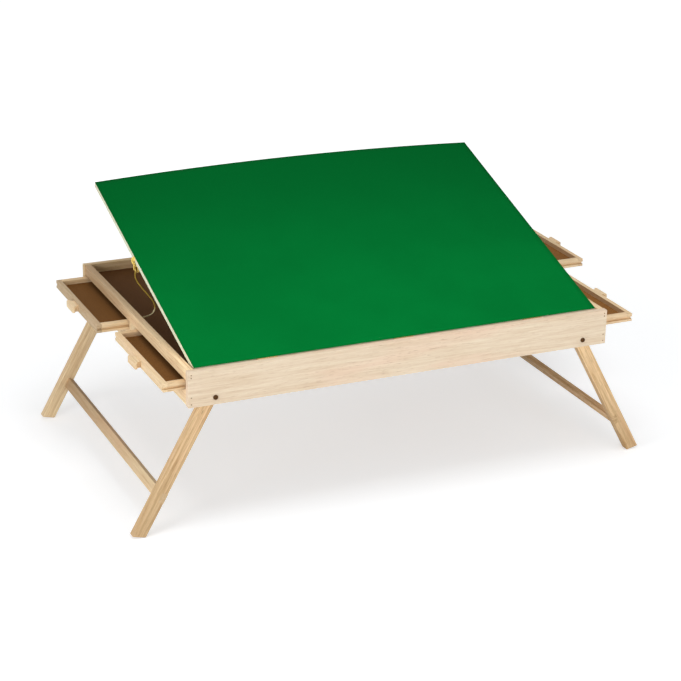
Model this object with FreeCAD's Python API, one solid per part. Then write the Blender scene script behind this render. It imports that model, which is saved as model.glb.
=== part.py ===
"""Jigsaw puzzle table: a shallow wooden tray on two folding leg frames, with a felt-covered lid that
tilts on hinges at the front, a folding prop under the lid and four drawers that pull out at the ends.

Millimetres. X runs along the length, Y from the front to the back, Z up. The origin is the middle of
the tray's plan, on the floor.
"""
import FreeCAD, Part
import math
import os
from FreeCAD import Vector

# ---- driving dimensions -------------------------------------------------------------------------
# Tray
TABLE_LENGTH = 850.0            # over the ends of the long boards
TABLE_DEPTH = 620.0             # over the faces of the long boards
UNDERSIDE = 245.0               # floor to the lower edge of the long boards
LONG_BOARD_HEIGHT = 68.0
LONG_BOARD_THICKNESS = 13.0
RAIL_THICKNESS = 13.0           # end rails between the long boards
RAIL_SETBACK = 1.5              # end rails behind the ends of the long boards
RECESS_DEPTH = 18.0             # rim to the tray panel
TRAY_PANEL_THICKNESS = 3.0
PANEL_INLET = 5.0               # depth of the panel's groove in the boards and rails
BOTTOM_RAIL_HEIGHT = 29.0
BEAM_WIDTH = 37.0               # beam between the front and the back drawers
CROSS_BAR_WIDTH = 12.0
CROSS_BAR_HEIGHT = 16.0

# Drawers
DRAWER_HEIGHT = 16.0
DRAWER_SIDE_CLEARANCE = 4.25
DRAWER_TOP_CLEARANCE = 1.0
DRAWER_SIDE_THICKNESS = 11.5
DRAWER_FRONT_THICKNESS = 9.5
DRAWER_BACK_THICKNESS = 9.5
DRAWER_INSIDE_DEPTH = 9.0
DRAWER_BOTTOM_THICKNESS = 3.0
DRAWER_BOTTOM_INLET = 4.0
DRAWER_GROOVE_HEIGHT = 5.0
DRAWER_GROOVE_DEPTH = 5.0
DRAWER_GROOVE_DROP = 9.0        # top edge to the middle of the groove
DRAWER_BACK_GAP = 1.5           # closed drawer to the cross bar
RUNNER_HEIGHT = 4.4
RUNNER_ENGAGEMENT = 4.25        # how far a runner reaches into the drawer's groove
DRAWER_OPENINGS = {             # how far each drawer stands open
    "left_front": 42.0,
    "left_back": 62.0,
    "right_front": 70.0,
    "right_back": 147.0,
}

# Drawer handles
HANDLE_LENGTH = 42.0
HANDLE_NECK_LENGTH = 30.0
HANDLE_REACH = 13.5
HANDLE_NECK_REACH = 6.0
HANDLE_HEIGHT = 12.5

# Legs
LEG_WIDTH = 24.0
LEG_THICKNESS = 18.0
LEG_SPLAY = 28.9                # degrees from upright
LEG_PIVOT_INSET = 51.0          # pivot from the end of the long boards
LEG_PIVOT_RISE = 14.0           # pivot above the lower edge of the long boards
FOOT_CUT = 13.3                 # degrees between the foot's end and the floor
FOOT_ROUNDING = 2.0
LEG_EASED = 1.6                 # rounding of the legs' long edges
STRETCHER_HEIGHT = 19.0         # along the leg
STRETCHER_THICKNESS = 11.0
STRETCHER_DROP = 201.0          # pivot to the stretcher's upper edge, along the leg
STOP_BLOCK_THICKNESS = 16.0
STOP_BLOCK_MARGIN = 3.0

# Leg bolts
BOLT_RADIUS = 2.5
BOLT_CLEARANCE = 0.06
BOLT_HEAD_RADIUS = 4.6
BOLT_HEAD_HEIGHT = 2.6
WASHER_RADIUS = 5.5
WASHER_THICKNESS = 1.0
NUT_ACROSS_FLATS = 8.0
NUT_THICKNESS = 5.0
BOLT_TAIL = 2.0
PLAY = 0.1                      # between a washer and the leg it faces

# Lid
LID_END_GAP = 2.5
LID_BACK_GAP = 4.0
LID_TILT = 18.0                 # degrees above closed
FELT_THICKNESS = 0.8
LID_PANEL_THICKNESS = 4.2
BATTEN_THICKNESS = 5.0
BATTEN_WIDTH = 20.0
LID_BOW = 12.0                  # rise of the back edge's middle above its corners
LID_REST_LENGTH = 30.0
LID_REST_WIDTH = 14.0
LID_REST_PLAY = 0.3
LID_REST_INSET = 120.0

# Hinges, the same section for the lid and the prop
LEAF_THICKNESS = 1.0
LEAF_LENGTH = 40.0
LEAF_DROP = 8.0                 # knuckle's middle to the leaf's far edge
KNUCKLE_RADIUS = 1.9
KNUCKLE_GAP = 0.3
HINGE_PIN_RADIUS = 0.9
HINGE_PIN_CLEARANCE = 0.06
HINGE_GAP = 4.5                 # between the two faces that carry the leaves
LID_KNUCKLE_DROP = 1.5          # knuckle's middle below the rim
LID_HINGE_SPACING = 270.0
SCREW_HEAD_RADIUS = 1.9
SCREW_RADIUS = 1.0
SCREW_LENGTH = 7.0

# Prop
PROP_HINGE_PLACE = 330.0        # front edge of the lid to the prop's hinge pin
PROP_LEAN = 18.0                # degrees between the prop and the lid
PROP_WIDTH = 276.0
PROP_BAR_WIDTH = 16.0
PROP_BAR_THICKNESS = 7.5
PROP_HINGE_SPACING = 95.0
PROP_BATTEN_THICKNESS = 8.0
PROP_BATTEN_WIDTH = 30.0
PROP_KNUCKLE_INSET = 1.0        # knuckle's middle above the prop batten's lower face
REST_STRIP_THICKNESS = 2.0
REST_STRIP_WIDTH = 20.0
REST_STRIP_LENGTH = 120.0
REST_NOTCH_RADIUS = 4.0
REST_NOTCH_DEPTH = 1.2
REST_NOTCH_PITCH = 22.0
REST_PLAY = 2.1                 # foot bar above the rest strips, see the report

# Nails
NAIL_RADIUS = 1.3
NAIL_LENGTH = 30.0
NAIL_SETTING = 0.2              # head proud of the wood

# Stay cord, which hangs in a curve from its knot under the lid to the left rail
CORD_DIAMETER = 2.5
CORD_KNOT_RADIUS = 3.8
CORD_KNOT_LENGTH = 12.4         # along the lid's end and towards its middle
CORD_TAB_THICKNESS = 1.8        # the part of the knot that lies on the lid's end
CORD_TAB_WIDTH = 11.0
CORD_LID_PLACE = 335.0          # front edge of the lid to the knot
CORD_RAIL_PLACE = 301.5         # front edge of the closed lid to the cord's hole in the rail
CORD_SIDE_INSET = 4.5           # lid's end to the knot's middle
CORD_RISE = 4.6                 # cord's hole above the tray panel
CORD_TUCK = 2.5                 # how far the cord goes into the rail
CORD_SAG = [                    # share of the drop, and how far the cord swings in along x and y
    (0.146, -1.1, 4.3), (0.291, -0.3, 5.9), (0.456, 11.0, 2.2), (0.607, 24.5, -0.6),
    (0.769, 37.0, -1.4), (0.937, 36.0, -0.6), (1.0, 18.0, 0.0),
]

EASED = 0.7                     # rounding of sawn edges

# ---- derived places -----------------------------------------------------------------------------
RIM = UNDERSIDE + LONG_BOARD_HEIGHT
HALF_LENGTH = TABLE_LENGTH / 2
HALF_DEPTH = TABLE_DEPTH / 2
INNER_Y = HALF_DEPTH - LONG_BOARD_THICKNESS
RAIL_OUTER_X = HALF_LENGTH - RAIL_SETBACK
RAIL_INNER_X = RAIL_OUTER_X - RAIL_THICKNESS
FLOOR_Z = RIM - RECESS_DEPTH
PANEL_UNDER_Z = FLOOR_Z - TRAY_PANEL_THICKNESS
BOTTOM_RAIL_TOP = UNDERSIDE + BOTTOM_RAIL_HEIGHT

DRAWER_TOP = PANEL_UNDER_Z - DRAWER_TOP_CLEARANCE
DRAWER_UNDER = DRAWER_TOP - DRAWER_HEIGHT
BAY_INNER_Y = BEAM_WIDTH / 2
DRAWER_WIDTH = INNER_Y - BAY_INNER_Y - 2 * DRAWER_SIDE_CLEARANCE
DRAWER_LENGTH = RAIL_OUTER_X - CROSS_BAR_WIDTH / 2 - DRAWER_BACK_GAP
GROOVE_Z = DRAWER_TOP - DRAWER_GROOVE_DROP

PIVOT_X = HALF_LENGTH - LEG_PIVOT_INSET
PIVOT_Z = UNDERSIDE + LEG_PIVOT_RISE
LEG_Y = INNER_Y - WASHER_THICKNESS - PLAY

LID_FRONT_Y = -INNER_Y + HINGE_GAP
LID_LENGTH = 2 * (RAIL_INNER_X - LID_END_GAP)
LID_SPAN = 2 * INNER_Y - HINGE_GAP - LID_BACK_GAP
LID_TOP_THICKNESS = FELT_THICKNESS + LID_PANEL_THICKNESS
LID_THICKNESS = LID_TOP_THICKNESS + BATTEN_THICKNESS
LID_AXIS = Vector(0, -INNER_Y + HINGE_GAP / 2, RIM - LID_KNUCKLE_DROP)

PROP_PIN_Y = LID_FRONT_Y + PROP_HINGE_PLACE
PROP_BATTEN_UNDER = RIM - LID_TOP_THICKNESS - PROP_BATTEN_THICKNESS
PROP_AXIS = Vector(0, PROP_PIN_Y, PROP_BATTEN_UNDER + PROP_KNUCKLE_INSET)
PROP_BAR_TOP = RIM - LID_TOP_THICKNESS - 0.5
FOOT_RADIUS = PROP_BAR_THICKNESS / 2

X_AXIS = Vector(1, 0, 0)
Y_AXIS = Vector(0, 1, 0)
Z_AXIS = Vector(0, 0, 1)
ENDS = {"left": -1, "right": 1}
FACES = {"front": -1, "back": 1}


# ---- helpers ------------------------------------------------------------------------------------
def block(x0, x1, y0, y1, z0, z1):
    """A square-edged block between two opposite corners, given in either order."""
    low = Vector(min(x0, x1), min(y0, y1), min(z0, z1))
    return Part.makeBox(abs(x1 - x0), abs(y1 - y0), abs(z1 - z0), low)


def plank(x0, x1, y0, y1, z0, z1, easing=EASED):
    """A block with all its edges eased."""
    solid = block(x0, x1, y0, y1, z0, z1)
    return solid.makeFillet(easing, solid.Edges)


def rod(radius, start, direction, length):
    """A round bar from a start point."""
    return Part.makeCylinder(radius, length, start, direction)


def prism(points, y0, y1):
    """A prism between two depths whose outline is given by (x, z) points."""
    corners = [Vector(x, min(y0, y1), z) for x, z in points]
    face = Part.Face(Part.makePolygon(corners + corners[:1]))
    return face.extrude(Vector(0, abs(y1 - y0), 0))


def tilted(shape):
    """A copy of a lid piece, turned from closed to the tilt that the lid rests at."""
    turned = shape.copy()
    turned.rotate(LID_AXIS, X_AXIS, LID_TILT)
    return turned


def opened_prop(shape):
    """A copy of a prop piece, folded out from under the lid and then tilted with it."""
    turned = shape.copy()
    turned.rotate(PROP_AXIS, X_AXIS, PROP_LEAN)
    return tilted(turned)


def knot_middle():
    """The knot's middle, with the lid tilted as it rests."""
    x, y = -LID_LENGTH / 2 + CORD_SIDE_INSET, LID_FRONT_Y + CORD_LID_PLACE
    return tilted(Part.Vertex(Vector(x, y, RIM - LID_THICKNESS - CORD_KNOT_RADIUS * 0.95))).Point


def cord_route():
    """The points that the cord's curve is drawn from, lid to rail."""
    start = knot_middle() + Vector(0, -0.9, -3.2)
    end = Vector(-RAIL_INNER_X - CORD_TUCK, LID_FRONT_Y + CORD_RAIL_PLACE, FLOOR_Z + CORD_RISE)
    drop = end - start
    between = [start + drop * share + Vector(swing_x, swing_y, 0) for share, swing_x, swing_y in CORD_SAG]
    return [start] + between + [end]


def group(solids):
    """Separate solids that share one node."""
    return Part.makeCompound(solids)


def export(name, shape):
    """Write one node."""
    shape.exportStep("parts/%s.step" % name)


# ---- tray ---------------------------------------------------------------------------------------
def pivot_holes(y0, y1):
    """The two leg bolts' holes through a long board."""
    return [
        rod(BOLT_RADIUS + BOLT_CLEARANCE, Vector(x, min(y0, y1) - 1, PIVOT_Z), Y_AXIS, abs(y1 - y0) + 2)
        for x in (-PIVOT_X, PIVOT_X)
    ]


def panel_half_sizes():
    """Half the tray panel's length and depth, let into the rails and the long boards."""
    play = 0.5
    return RAIL_INNER_X + PANEL_INLET - play, INNER_Y + PANEL_INLET - play


def long_board(side):
    """The front or back board, grooved for the tray panel and bored for the leg bolts."""
    outer, inner = side * HALF_DEPTH, side * INNER_Y
    board = plank(-HALF_LENGTH, HALF_LENGTH, outer, inner, UNDERSIDE, RIM)
    groove_end = RAIL_INNER_X + PANEL_INLET
    groove = block(-groove_end, groove_end, inner - side, inner + side * PANEL_INLET, PANEL_UNDER_Z, FLOOR_Z)
    cuts = [groove] + pivot_holes(outer, inner)
    cuts += [nail_hole(nail) for nail in nails_of_board(side)]
    return board.cut(cuts)


def top_rail(end):
    """A rail at an end of the recess. The tray panel sits in a rebate on its inner lower edge."""
    rail = plank(end * RAIL_INNER_X, end * RAIL_OUTER_X, -INNER_Y, INNER_Y, PANEL_UNDER_Z, RIM)
    inner = end * (RAIL_INNER_X - 1)
    rebate = block(inner, end * (RAIL_INNER_X + PANEL_INLET), -INNER_Y - 1, INNER_Y + 1, PANEL_UNDER_Z - 1, FLOOR_Z)
    rail = rail.cut([rebate] + [nail_hole(nail) for side in FACES.values() for nail in nails_of_board(side)])
    if end < 0:
        last = cord_route()[-1]
        rail = rail.cut(rod(CORD_DIAMETER / 2, last, X_AXIS, RAIL_THICKNESS))
    return rail


def bottom_rails():
    """The two rails below the drawers."""
    rails = []
    for end in ENDS.values():
        rail = plank(end * RAIL_INNER_X, end * RAIL_OUTER_X, -INNER_Y, INNER_Y, UNDERSIDE, BOTTOM_RAIL_TOP)
        rails.append(rail.cut([nail_hole(nail) for side in FACES.values() for nail in nails_of_board(side)]))
    return group(rails)


def tray_panel():
    """The hardboard floor of the recess."""
    half_x, half_y = panel_half_sizes()
    return block(-half_x, half_x, -half_y, half_y, PANEL_UNDER_Z, FLOOR_Z)


def centre_beam():
    """The beam between the front and the back drawers, end to end under the tray panel."""
    return block(-RAIL_OUTER_X, RAIL_OUTER_X, -BAY_INNER_Y, BAY_INNER_Y, BOTTOM_RAIL_TOP, PANEL_UNDER_Z)


def cross_bars():
    """Two bars under the middle of the tray panel, which the closed drawers stop at."""
    half = CROSS_BAR_WIDTH / 2
    low = PANEL_UNDER_Z - CROSS_BAR_HEIGHT
    return group([
        block(-half, half, side * BAY_INNER_Y, side * INNER_Y, low, PANEL_UNDER_Z) for side in FACES.values()
    ])


def runner_reach():
    """How far a runner stands off the face that carries it."""
    return DRAWER_SIDE_CLEARANCE + RUNNER_ENGAGEMENT


def drawer_runners():
    """Eight strips that the drawers' grooves run on."""
    near, far = CROSS_BAR_WIDTH / 2 + 1, RAIL_INNER_X - 1
    low, high = GROOVE_Z - RUNNER_HEIGHT / 2, GROOVE_Z + RUNNER_HEIGHT / 2
    strips = []
    for end in ENDS.values():
        for side in FACES.values():
            for wall, away in ((INNER_Y, -1), (BAY_INNER_Y, 1)):
                y0, y1 = side * wall, side * (wall + away * runner_reach())
                strips.append(block(end * near, end * far, y0, y1, low, high))
    return group(strips)


def leg_stop_blocks():
    """Blocks behind the long boards that the spread legs lean against."""
    lean = math.radians(LEG_SPLAY)
    half = LEG_WIDTH / 2 + PLAY
    low, high = UNDERSIDE + STOP_BLOCK_MARGIN, BOTTOM_RAIL_TOP - STOP_BLOCK_MARGIN

    def face_x(z):
        return PIVOT_X + half / math.cos(lean) - (z - PIVOT_Z) * math.tan(lean)

    solids = []
    for end in ENDS.values():
        outline = [
            (end * RAIL_INNER_X, low), (end * RAIL_INNER_X, high),
            (end * face_x(high), high), (end * face_x(low), low),
        ]
        for side in FACES.values():
            solids.append(prism(outline, side * INNER_Y, side * (INNER_Y - STOP_BLOCK_THICKNESS)))
    return group(solids)


def lid_rest_blocks():
    """Two blocks on the tray panel that carry the closed lid's back batten."""
    top = RIM - LID_THICKNESS - LID_REST_PLAY
    back = LID_FRONT_Y + LID_SPAN - 2
    solids = []
    for end in ENDS.values():
        x0 = end * (HALF_LENGTH - LID_REST_INSET)
        solids.append(block(x0, x0 - end * LID_REST_LENGTH, back - LID_REST_WIDTH, back, FLOOR_Z, top))
    return group(solids)


def prop_foot_place():
    """Depth of the prop's foot, where it stands at the tilt that the lid rests at."""
    foot = Part.Vertex(Vector(0, PROP_PIN_Y - prop_length(), PROP_BAR_TOP - FOOT_RADIUS))
    return opened_prop(foot).Point.y


def prop_rest_strips():
    """Two notched strips on the tray panel for the prop's foot."""
    foot_y = prop_foot_place()
    high = FLOOR_Z + REST_STRIP_THICKNESS
    notch_z = high + REST_NOTCH_RADIUS - REST_NOTCH_DEPTH
    solids = []
    for end in ENDS.values():
        x = end * PROP_WIDTH / 2
        half = REST_STRIP_WIDTH / 2
        strip = block(x - half, x + half, foot_y - REST_STRIP_LENGTH * 0.4, foot_y + REST_STRIP_LENGTH * 0.6,
                      FLOOR_Z, high)
        notches = [
            rod(REST_NOTCH_RADIUS, Vector(x - half - 1, foot_y + step * REST_NOTCH_PITCH, notch_z), X_AXIS,
                REST_STRIP_WIDTH + 2)
            for step in (-1, 0, 1, 2)
        ]
        solids.append(strip.cut(notches))
    return group(solids)


# ---- nails --------------------------------------------------------------------------------------
def nails_of_board(side):
    """Start points of the nails through a long board into the end rails, with their direction."""
    heights = (
        PANEL_UNDER_Z + RECESS_DEPTH * 0.83,
        PANEL_UNDER_Z + RECESS_DEPTH * 0.54,
        UNDERSIDE + BOTTOM_RAIL_HEIGHT * 0.66,
        UNDERSIDE + BOTTOM_RAIL_HEIGHT * 0.22,
    )
    x = RAIL_OUTER_X - RAIL_THICKNESS * 0.33
    starts = [Vector(end * x, side * (HALF_DEPTH + NAIL_SETTING), z) for end in ENDS.values() for z in heights]
    return [(start, Vector(0, -side, 0)) for start in starts]


def nail_hole(nail):
    """The room that a nail takes in the wood."""
    start, direction = nail
    return rod(NAIL_RADIUS, start, direction, NAIL_LENGTH)


def frame_nails():
    """All the nails that hold the long boards to the end rails."""
    return group([nail_hole(nail) for side in FACES.values() for nail in nails_of_board(side)])


# ---- leg bolts ----------------------------------------------------------------------------------
def bolt_stack():
    """Distances from a long board's outer face, inwards, to the leg, the nut and the bolt's tail."""
    leg = LONG_BOARD_THICKNESS + WASHER_THICKNESS + PLAY
    second_washer = leg + LEG_THICKNESS + PLAY
    nut = second_washer + WASHER_THICKNESS
    return leg, second_washer, nut, nut + NUT_THICKNESS + BOLT_TAIL


def bolt_places():
    """Each bolt's point on the board's outer face and its inward direction."""
    return [
        (Vector(end * PIVOT_X, side * HALF_DEPTH, PIVOT_Z), Vector(0, -side, 0))
        for end in ENDS.values() for side in FACES.values()
    ]


def leg_bolts():
    """Round-headed bolts with a cross recess, one at each leg's pivot."""
    tail = bolt_stack()[3]
    solids = []
    for place, inward in bolt_places():
        shank = rod(BOLT_RADIUS, place, inward, tail)
        head = rod(BOLT_HEAD_RADIUS, place, -inward, BOLT_HEAD_HEIGHT)
        rim = [edge for edge in head.Edges if abs(edge.CenterOfMass.y - place.y) > BOLT_HEAD_HEIGHT / 2
               and len(edge.Vertexes) == 1]
        head = head.makeFillet(BOLT_HEAD_HEIGHT * 0.6, rim)
        face = place - inward * (BOLT_HEAD_HEIGHT - 1.2)
        cross = []
        for wide, high in ((5.0, 0.9), (0.9, 5.0)):
            cross.append(block(face.x - wide / 2, face.x + wide / 2, face.y, face.y - 5 * inward.y,
                               face.z - high / 2, face.z + high / 2))
        solids.append(head.fuse(shank).cut(cross).removeSplitter())
    return group(solids)


def leg_nuts():
    """The washers and the nuts on the leg bolts."""
    leg, second_washer, nut, _ = bolt_stack()
    solids = []
    for place, inward in bolt_places():
        for offset in (LONG_BOARD_THICKNESS, second_washer):
            washer = rod(WASHER_RADIUS, place + inward * offset, inward, WASHER_THICKNESS)
            solids.append(washer.cut(rod(BOLT_RADIUS + BOLT_CLEARANCE, place, inward, offset + WASHER_THICKNESS + 1)))
        radius = NUT_ACROSS_FLATS / math.sqrt(3)
        corners = [
            place + inward * nut + Vector(radius * math.cos(math.radians(60 * step)), 0,
                                          radius * math.sin(math.radians(60 * step)))
            for step in range(6)
        ]
        hexagon = Part.Face(Part.makePolygon(corners + corners[:1])).extrude(inward * NUT_THICKNESS)
        solids.append(hexagon.cut(rod(BOLT_RADIUS + BOLT_CLEARANCE / 2, place, inward, nut + NUT_THICKNESS + 1)))
    return group(solids)


# ---- legs ---------------------------------------------------------------------------------------
def leg_frame(end):
    """Unit vectors along a leg, down and outwards, and across it, towards the table's middle."""
    lean = math.radians(LEG_SPLAY)
    along = Vector(end * math.sin(lean), 0, -math.cos(lean))
    across = Vector(-end * math.cos(lean), 0, -math.sin(lean))
    return along, across


def foot_lift():
    """How far the rounding raises the foot's inner corner off the floor."""
    inner = 90.0 - LEG_SPLAY
    foot = 180.0 - FOOT_CUT
    half = math.radians((foot - inner) / 2)
    middle = math.radians((foot + inner) / 2)
    return FOOT_ROUNDING / math.sin(half) * math.sin(middle) - FOOT_ROUNDING


def leg_outline(end):
    """The leg's four lower corners in the XZ plane: outer top, outer foot, inner foot, inner top."""
    along, across = leg_frame(end)
    pivot = Vector(end * PIVOT_X, 0, PIVOT_Z)
    half = LEG_WIDTH / 2
    inner_top, outer_top = pivot + across * half, pivot - across * half
    inner_foot = inner_top + along * ((inner_top.z + foot_lift()) / -along.z)
    rise = math.tan(math.radians(FOOT_CUT))
    reach = (inner_foot - outer_top).dot(along)
    across_step = outer_top + along * reach - inner_foot
    slip = (across_step.z - rise * abs(across_step.x)) / (-along.z + rise * abs(along.x))
    outer_foot = outer_top + along * (reach + slip)
    return outer_top, outer_foot, inner_foot, inner_top


def stretcher_bar(end, y0, y1):
    """A leg frame's stretcher between two depths, flush with the legs' inner faces."""
    along, across = leg_frame(end)
    pivot = Vector(end * PIVOT_X, 0, PIVOT_Z)
    face = pivot + across * (LEG_WIDTH / 2)
    corners = [
        face + along * STRETCHER_DROP,
        face + along * (STRETCHER_DROP + STRETCHER_HEIGHT),
        face + along * (STRETCHER_DROP + STRETCHER_HEIGHT) - across * STRETCHER_THICKNESS,
        face + along * STRETCHER_DROP - across * STRETCHER_THICKNESS,
    ]
    return prism([(corner.x, corner.z) for corner in corners], y0, y1)


def leg(end, side):
    """One leg: round at its pivot, notched for the stretcher and cut at a slant at the foot."""
    along, _ = leg_frame(end)
    outer_top, outer_foot, inner_foot, inner_top = leg_outline(end)
    crown = Vector(end * PIVOT_X, 0, PIVOT_Z) - along * (LEG_WIDTH / 2)
    edges = [
        Part.LineSegment(outer_top, outer_foot).toShape(),
        Part.LineSegment(outer_foot, inner_foot).toShape(),
        Part.LineSegment(inner_foot, inner_top).toShape(),
        Part.Arc(inner_top, crown, outer_top).toShape(),
    ]
    solid = Part.Face(Part.Wire(edges)).extrude(Vector(0, LEG_THICKNESS, 0))
    y0 = side * LEG_Y
    solid.translate(Vector(0, y0 if side < 0 else y0 - LEG_THICKNESS, 0))
    foot_edge = [edge for edge in solid.Edges
                 if abs(edge.CenterOfMass.x - inner_foot.x) < 0.01 and abs(edge.CenterOfMass.z - inner_foot.z) < 0.01]
    solid = solid.makeFillet(FOOT_ROUNDING, foot_edge)
    faces = [face for face in solid.Faces if abs(abs(face.normalAt(0, 0).y) - 1) < 1e-6]
    solid = solid.makeFillet(LEG_EASED, [edge for face in faces for edge in face.Edges])
    hole = rod(BOLT_RADIUS + BOLT_CLEARANCE, Vector(end * PIVOT_X, y0 + side, PIVOT_Z), Vector(0, -side, 0),
               LEG_THICKNESS + 2)
    return solid.cut([hole, stretcher_bar(end, -HALF_DEPTH, HALF_DEPTH)])


def stretcher(end):
    """The bar between the two legs of an end, its ends flush with the legs' outer faces."""
    return stretcher_bar(end, -LEG_Y, LEG_Y)


# ---- hinges and screws --------------------------------------------------------------------------
def screw(head, direction):
    """A small countersunk screw whose head lies flush at a point."""
    cone = Part.makeCone(SCREW_HEAD_RADIUS, SCREW_RADIUS, LEAF_THICKNESS, head, direction)
    return cone.fuse(rod(SCREW_RADIUS, head, direction, SCREW_LENGTH)).removeSplitter()


def knuckle(axis, x, x0, x1):
    """A stretch of a hinge's barrel, before it is bored."""
    return rod(KNUCKLE_RADIUS, Vector(x + x0, axis.y, axis.z), X_AXIS, x1 - x0)


def barrel_stretches():
    """The fixed leaf's two outer stretches and the moving leaf's middle one, along the hinge."""
    half, third = LEAF_LENGTH / 2, LEAF_LENGTH / 6
    gap = KNUCKLE_GAP / 2
    return [(-half, -third - gap), (third + gap, half)], [(-third + gap, third - gap)]


def hinge_leaf(axis, x, carrier, stretches, up):
    """One leaf on a face at y = carrier, with its own stretches of the barrel. up is 1 where the
    barrel is at the leaf's upper edge and -1 where it is at the lower edge."""
    half = LEAF_LENGTH / 2
    inside = 1 if axis.y > carrier else -1
    shoulder = axis.z - up * (KNUCKLE_RADIUS + KNUCKLE_GAP)
    plate = block(x - half, x + half, carrier, carrier + inside * LEAF_THICKNESS, axis.z - up * LEAF_DROP, shoulder)
    tongues = []
    for x0, x1 in stretches:
        tongues.append(knuckle(axis, x, x0, x1))
        tongues.append(block(x + x0, x + x1, carrier, carrier + inside * LEAF_THICKNESS, shoulder, axis.z))
    leaf = plate.fuse(tongues)
    bore = rod(HINGE_PIN_RADIUS + HINGE_PIN_CLEARANCE, Vector(x - half - 1, axis.y, axis.z), X_AXIS, LEAF_LENGTH + 2)
    return leaf.cut([bore] + leaf_screws(axis, x, carrier, up)).removeSplitter()


def leaf_screws(axis, x, carrier, up):
    """The two screws of a leaf."""
    inside = 1 if axis.y > carrier else -1
    z = axis.z - up * (LEAF_DROP + KNUCKLE_RADIUS + KNUCKLE_GAP) / 2
    return [
        screw(Vector(x + place, carrier + inside * LEAF_THICKNESS, z), Vector(0, -inside, 0))
        for place in (-LEAF_LENGTH / 4, LEAF_LENGTH / 4)
    ]


def hinge_pin(axis, x):
    """A hinge's pin."""
    return rod(HINGE_PIN_RADIUS, Vector(x - LEAF_LENGTH / 2, axis.y, axis.z), X_AXIS, LEAF_LENGTH)


def lid_hinge_places():
    """Where along the length the lid's hinges are."""
    return [-LID_HINGE_SPACING, 0.0, LID_HINGE_SPACING]


def prop_hinge_places():
    """Where along the length the prop's hinges are."""
    return [-PROP_HINGE_SPACING, PROP_HINGE_SPACING]


def lid_hinge_fixed_leaves():
    """The lid hinges' leaves on the front board."""
    fixed, _ = barrel_stretches()
    return group([hinge_leaf(LID_AXIS, x, -INNER_Y, fixed, 1) for x in lid_hinge_places()])


def lid_hinge_fixed_screws():
    """Their screws, driven into the front board."""
    return [item for x in lid_hinge_places() for item in leaf_screws(LID_AXIS, x, -INNER_Y, 1)]


def lid_hinge_moving_leaves():
    """The lid hinges' leaves on the lid's front edge."""
    _, moving = barrel_stretches()
    return group([tilted(hinge_leaf(LID_AXIS, x, LID_FRONT_Y, moving, 1)) for x in lid_hinge_places()])


def lid_screws():
    """The screws in the lid: those of its own hinges and of the prop's hinges."""
    own = [item for x in lid_hinge_places() for item in leaf_screws(LID_AXIS, x, LID_FRONT_Y, 1)]
    carrier = PROP_PIN_Y + HINGE_GAP / 2
    props = [item for x in prop_hinge_places() for item in leaf_screws(PROP_AXIS, x, carrier, -1)]
    return own + props


def prop_hinge_lid_leaves():
    """The prop hinges' leaves on the prop batten."""
    fixed, _ = barrel_stretches()
    carrier = PROP_PIN_Y + HINGE_GAP / 2
    return group([tilted(hinge_leaf(PROP_AXIS, x, carrier, fixed, -1)) for x in prop_hinge_places()])


def prop_hinge_prop_leaves():
    """The prop hinges' leaves on the prop's top bar."""
    _, moving = barrel_stretches()
    carrier = PROP_PIN_Y - HINGE_GAP / 2
    return group([opened_prop(hinge_leaf(PROP_AXIS, x, carrier, moving, -1)) for x in prop_hinge_places()])


def prop_screws():
    """The screws in the prop's top bar."""
    carrier = PROP_PIN_Y - HINGE_GAP / 2
    return [item for x in prop_hinge_places() for item in leaf_screws(PROP_AXIS, x, carrier, -1)]


# ---- lid ----------------------------------------------------------------------------------------
def bowed_edge(x0, x1, place, level):
    """An edge across the lid, at a distance from its front, on the arc that the lid is bowed to."""
    rise = LID_BOW * place / LID_SPAN
    y, z = LID_FRONT_Y + place, RIM + level
    if rise < 0.01:
        return Part.LineSegment(Vector(x0, y, z), Vector(x1, y, z)).toShape()
    radius = LID_LENGTH ** 2 / (8 * rise) + rise / 2

    def point(x):
        return Vector(x, y, z + rise - radius + math.sqrt(radius ** 2 - x ** 2))

    return Part.Arc(point(x0), point((x0 + x1) / 2), point(x1)).toShape()


def bowed_slab(x0, x1, place0, place1, low, high):
    """A sheet of the bowed lid between two levels, measured from the lid's top."""
    front = bowed_edge(x0, x1, place0, low)
    back = bowed_edge(x0, x1, place1, low)
    solid = Part.makeRuledSurface(front, back).extrude(Vector(0, 0, high - low))
    if solid.Volume < 0:
        solid.reverse()
    return solid


def lid_felt():
    """The green felt, glued over the whole lid."""
    half = LID_LENGTH / 2
    return tilted(bowed_slab(-half, half, 0, LID_SPAN, -FELT_THICKNESS, 0))


def lid_panel():
    """The thin board under the felt."""
    half = LID_LENGTH / 2
    panel = tilted(bowed_slab(-half, half, 0, LID_SPAN, -LID_TOP_THICKNESS, -FELT_THICKNESS))
    return panel.cut([tilted(item) for item in lid_screws()])


def lid_batten(x0, x1, place0, place1):
    """A batten under the lid's panel, which follows its bow."""
    batten = tilted(bowed_slab(x0, x1, place0, place1, -LID_THICKNESS, -LID_TOP_THICKNESS))
    return batten.cut([tilted(item) for item in lid_screws()])


def lid_long_battens():
    """The battens along the lid's front and back edges."""
    half = LID_LENGTH / 2
    return group([
        lid_batten(-half, half, 0, BATTEN_WIDTH),
        lid_batten(-half, half, LID_SPAN - BATTEN_WIDTH, LID_SPAN),
    ])


def lid_side_battens():
    """The battens along the lid's ends, between the long ones."""
    half = LID_LENGTH / 2
    return group([
        lid_batten(x, x + BATTEN_WIDTH, BATTEN_WIDTH, LID_SPAN - BATTEN_WIDTH)
        for x in (-half, half - BATTEN_WIDTH)
    ])


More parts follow.
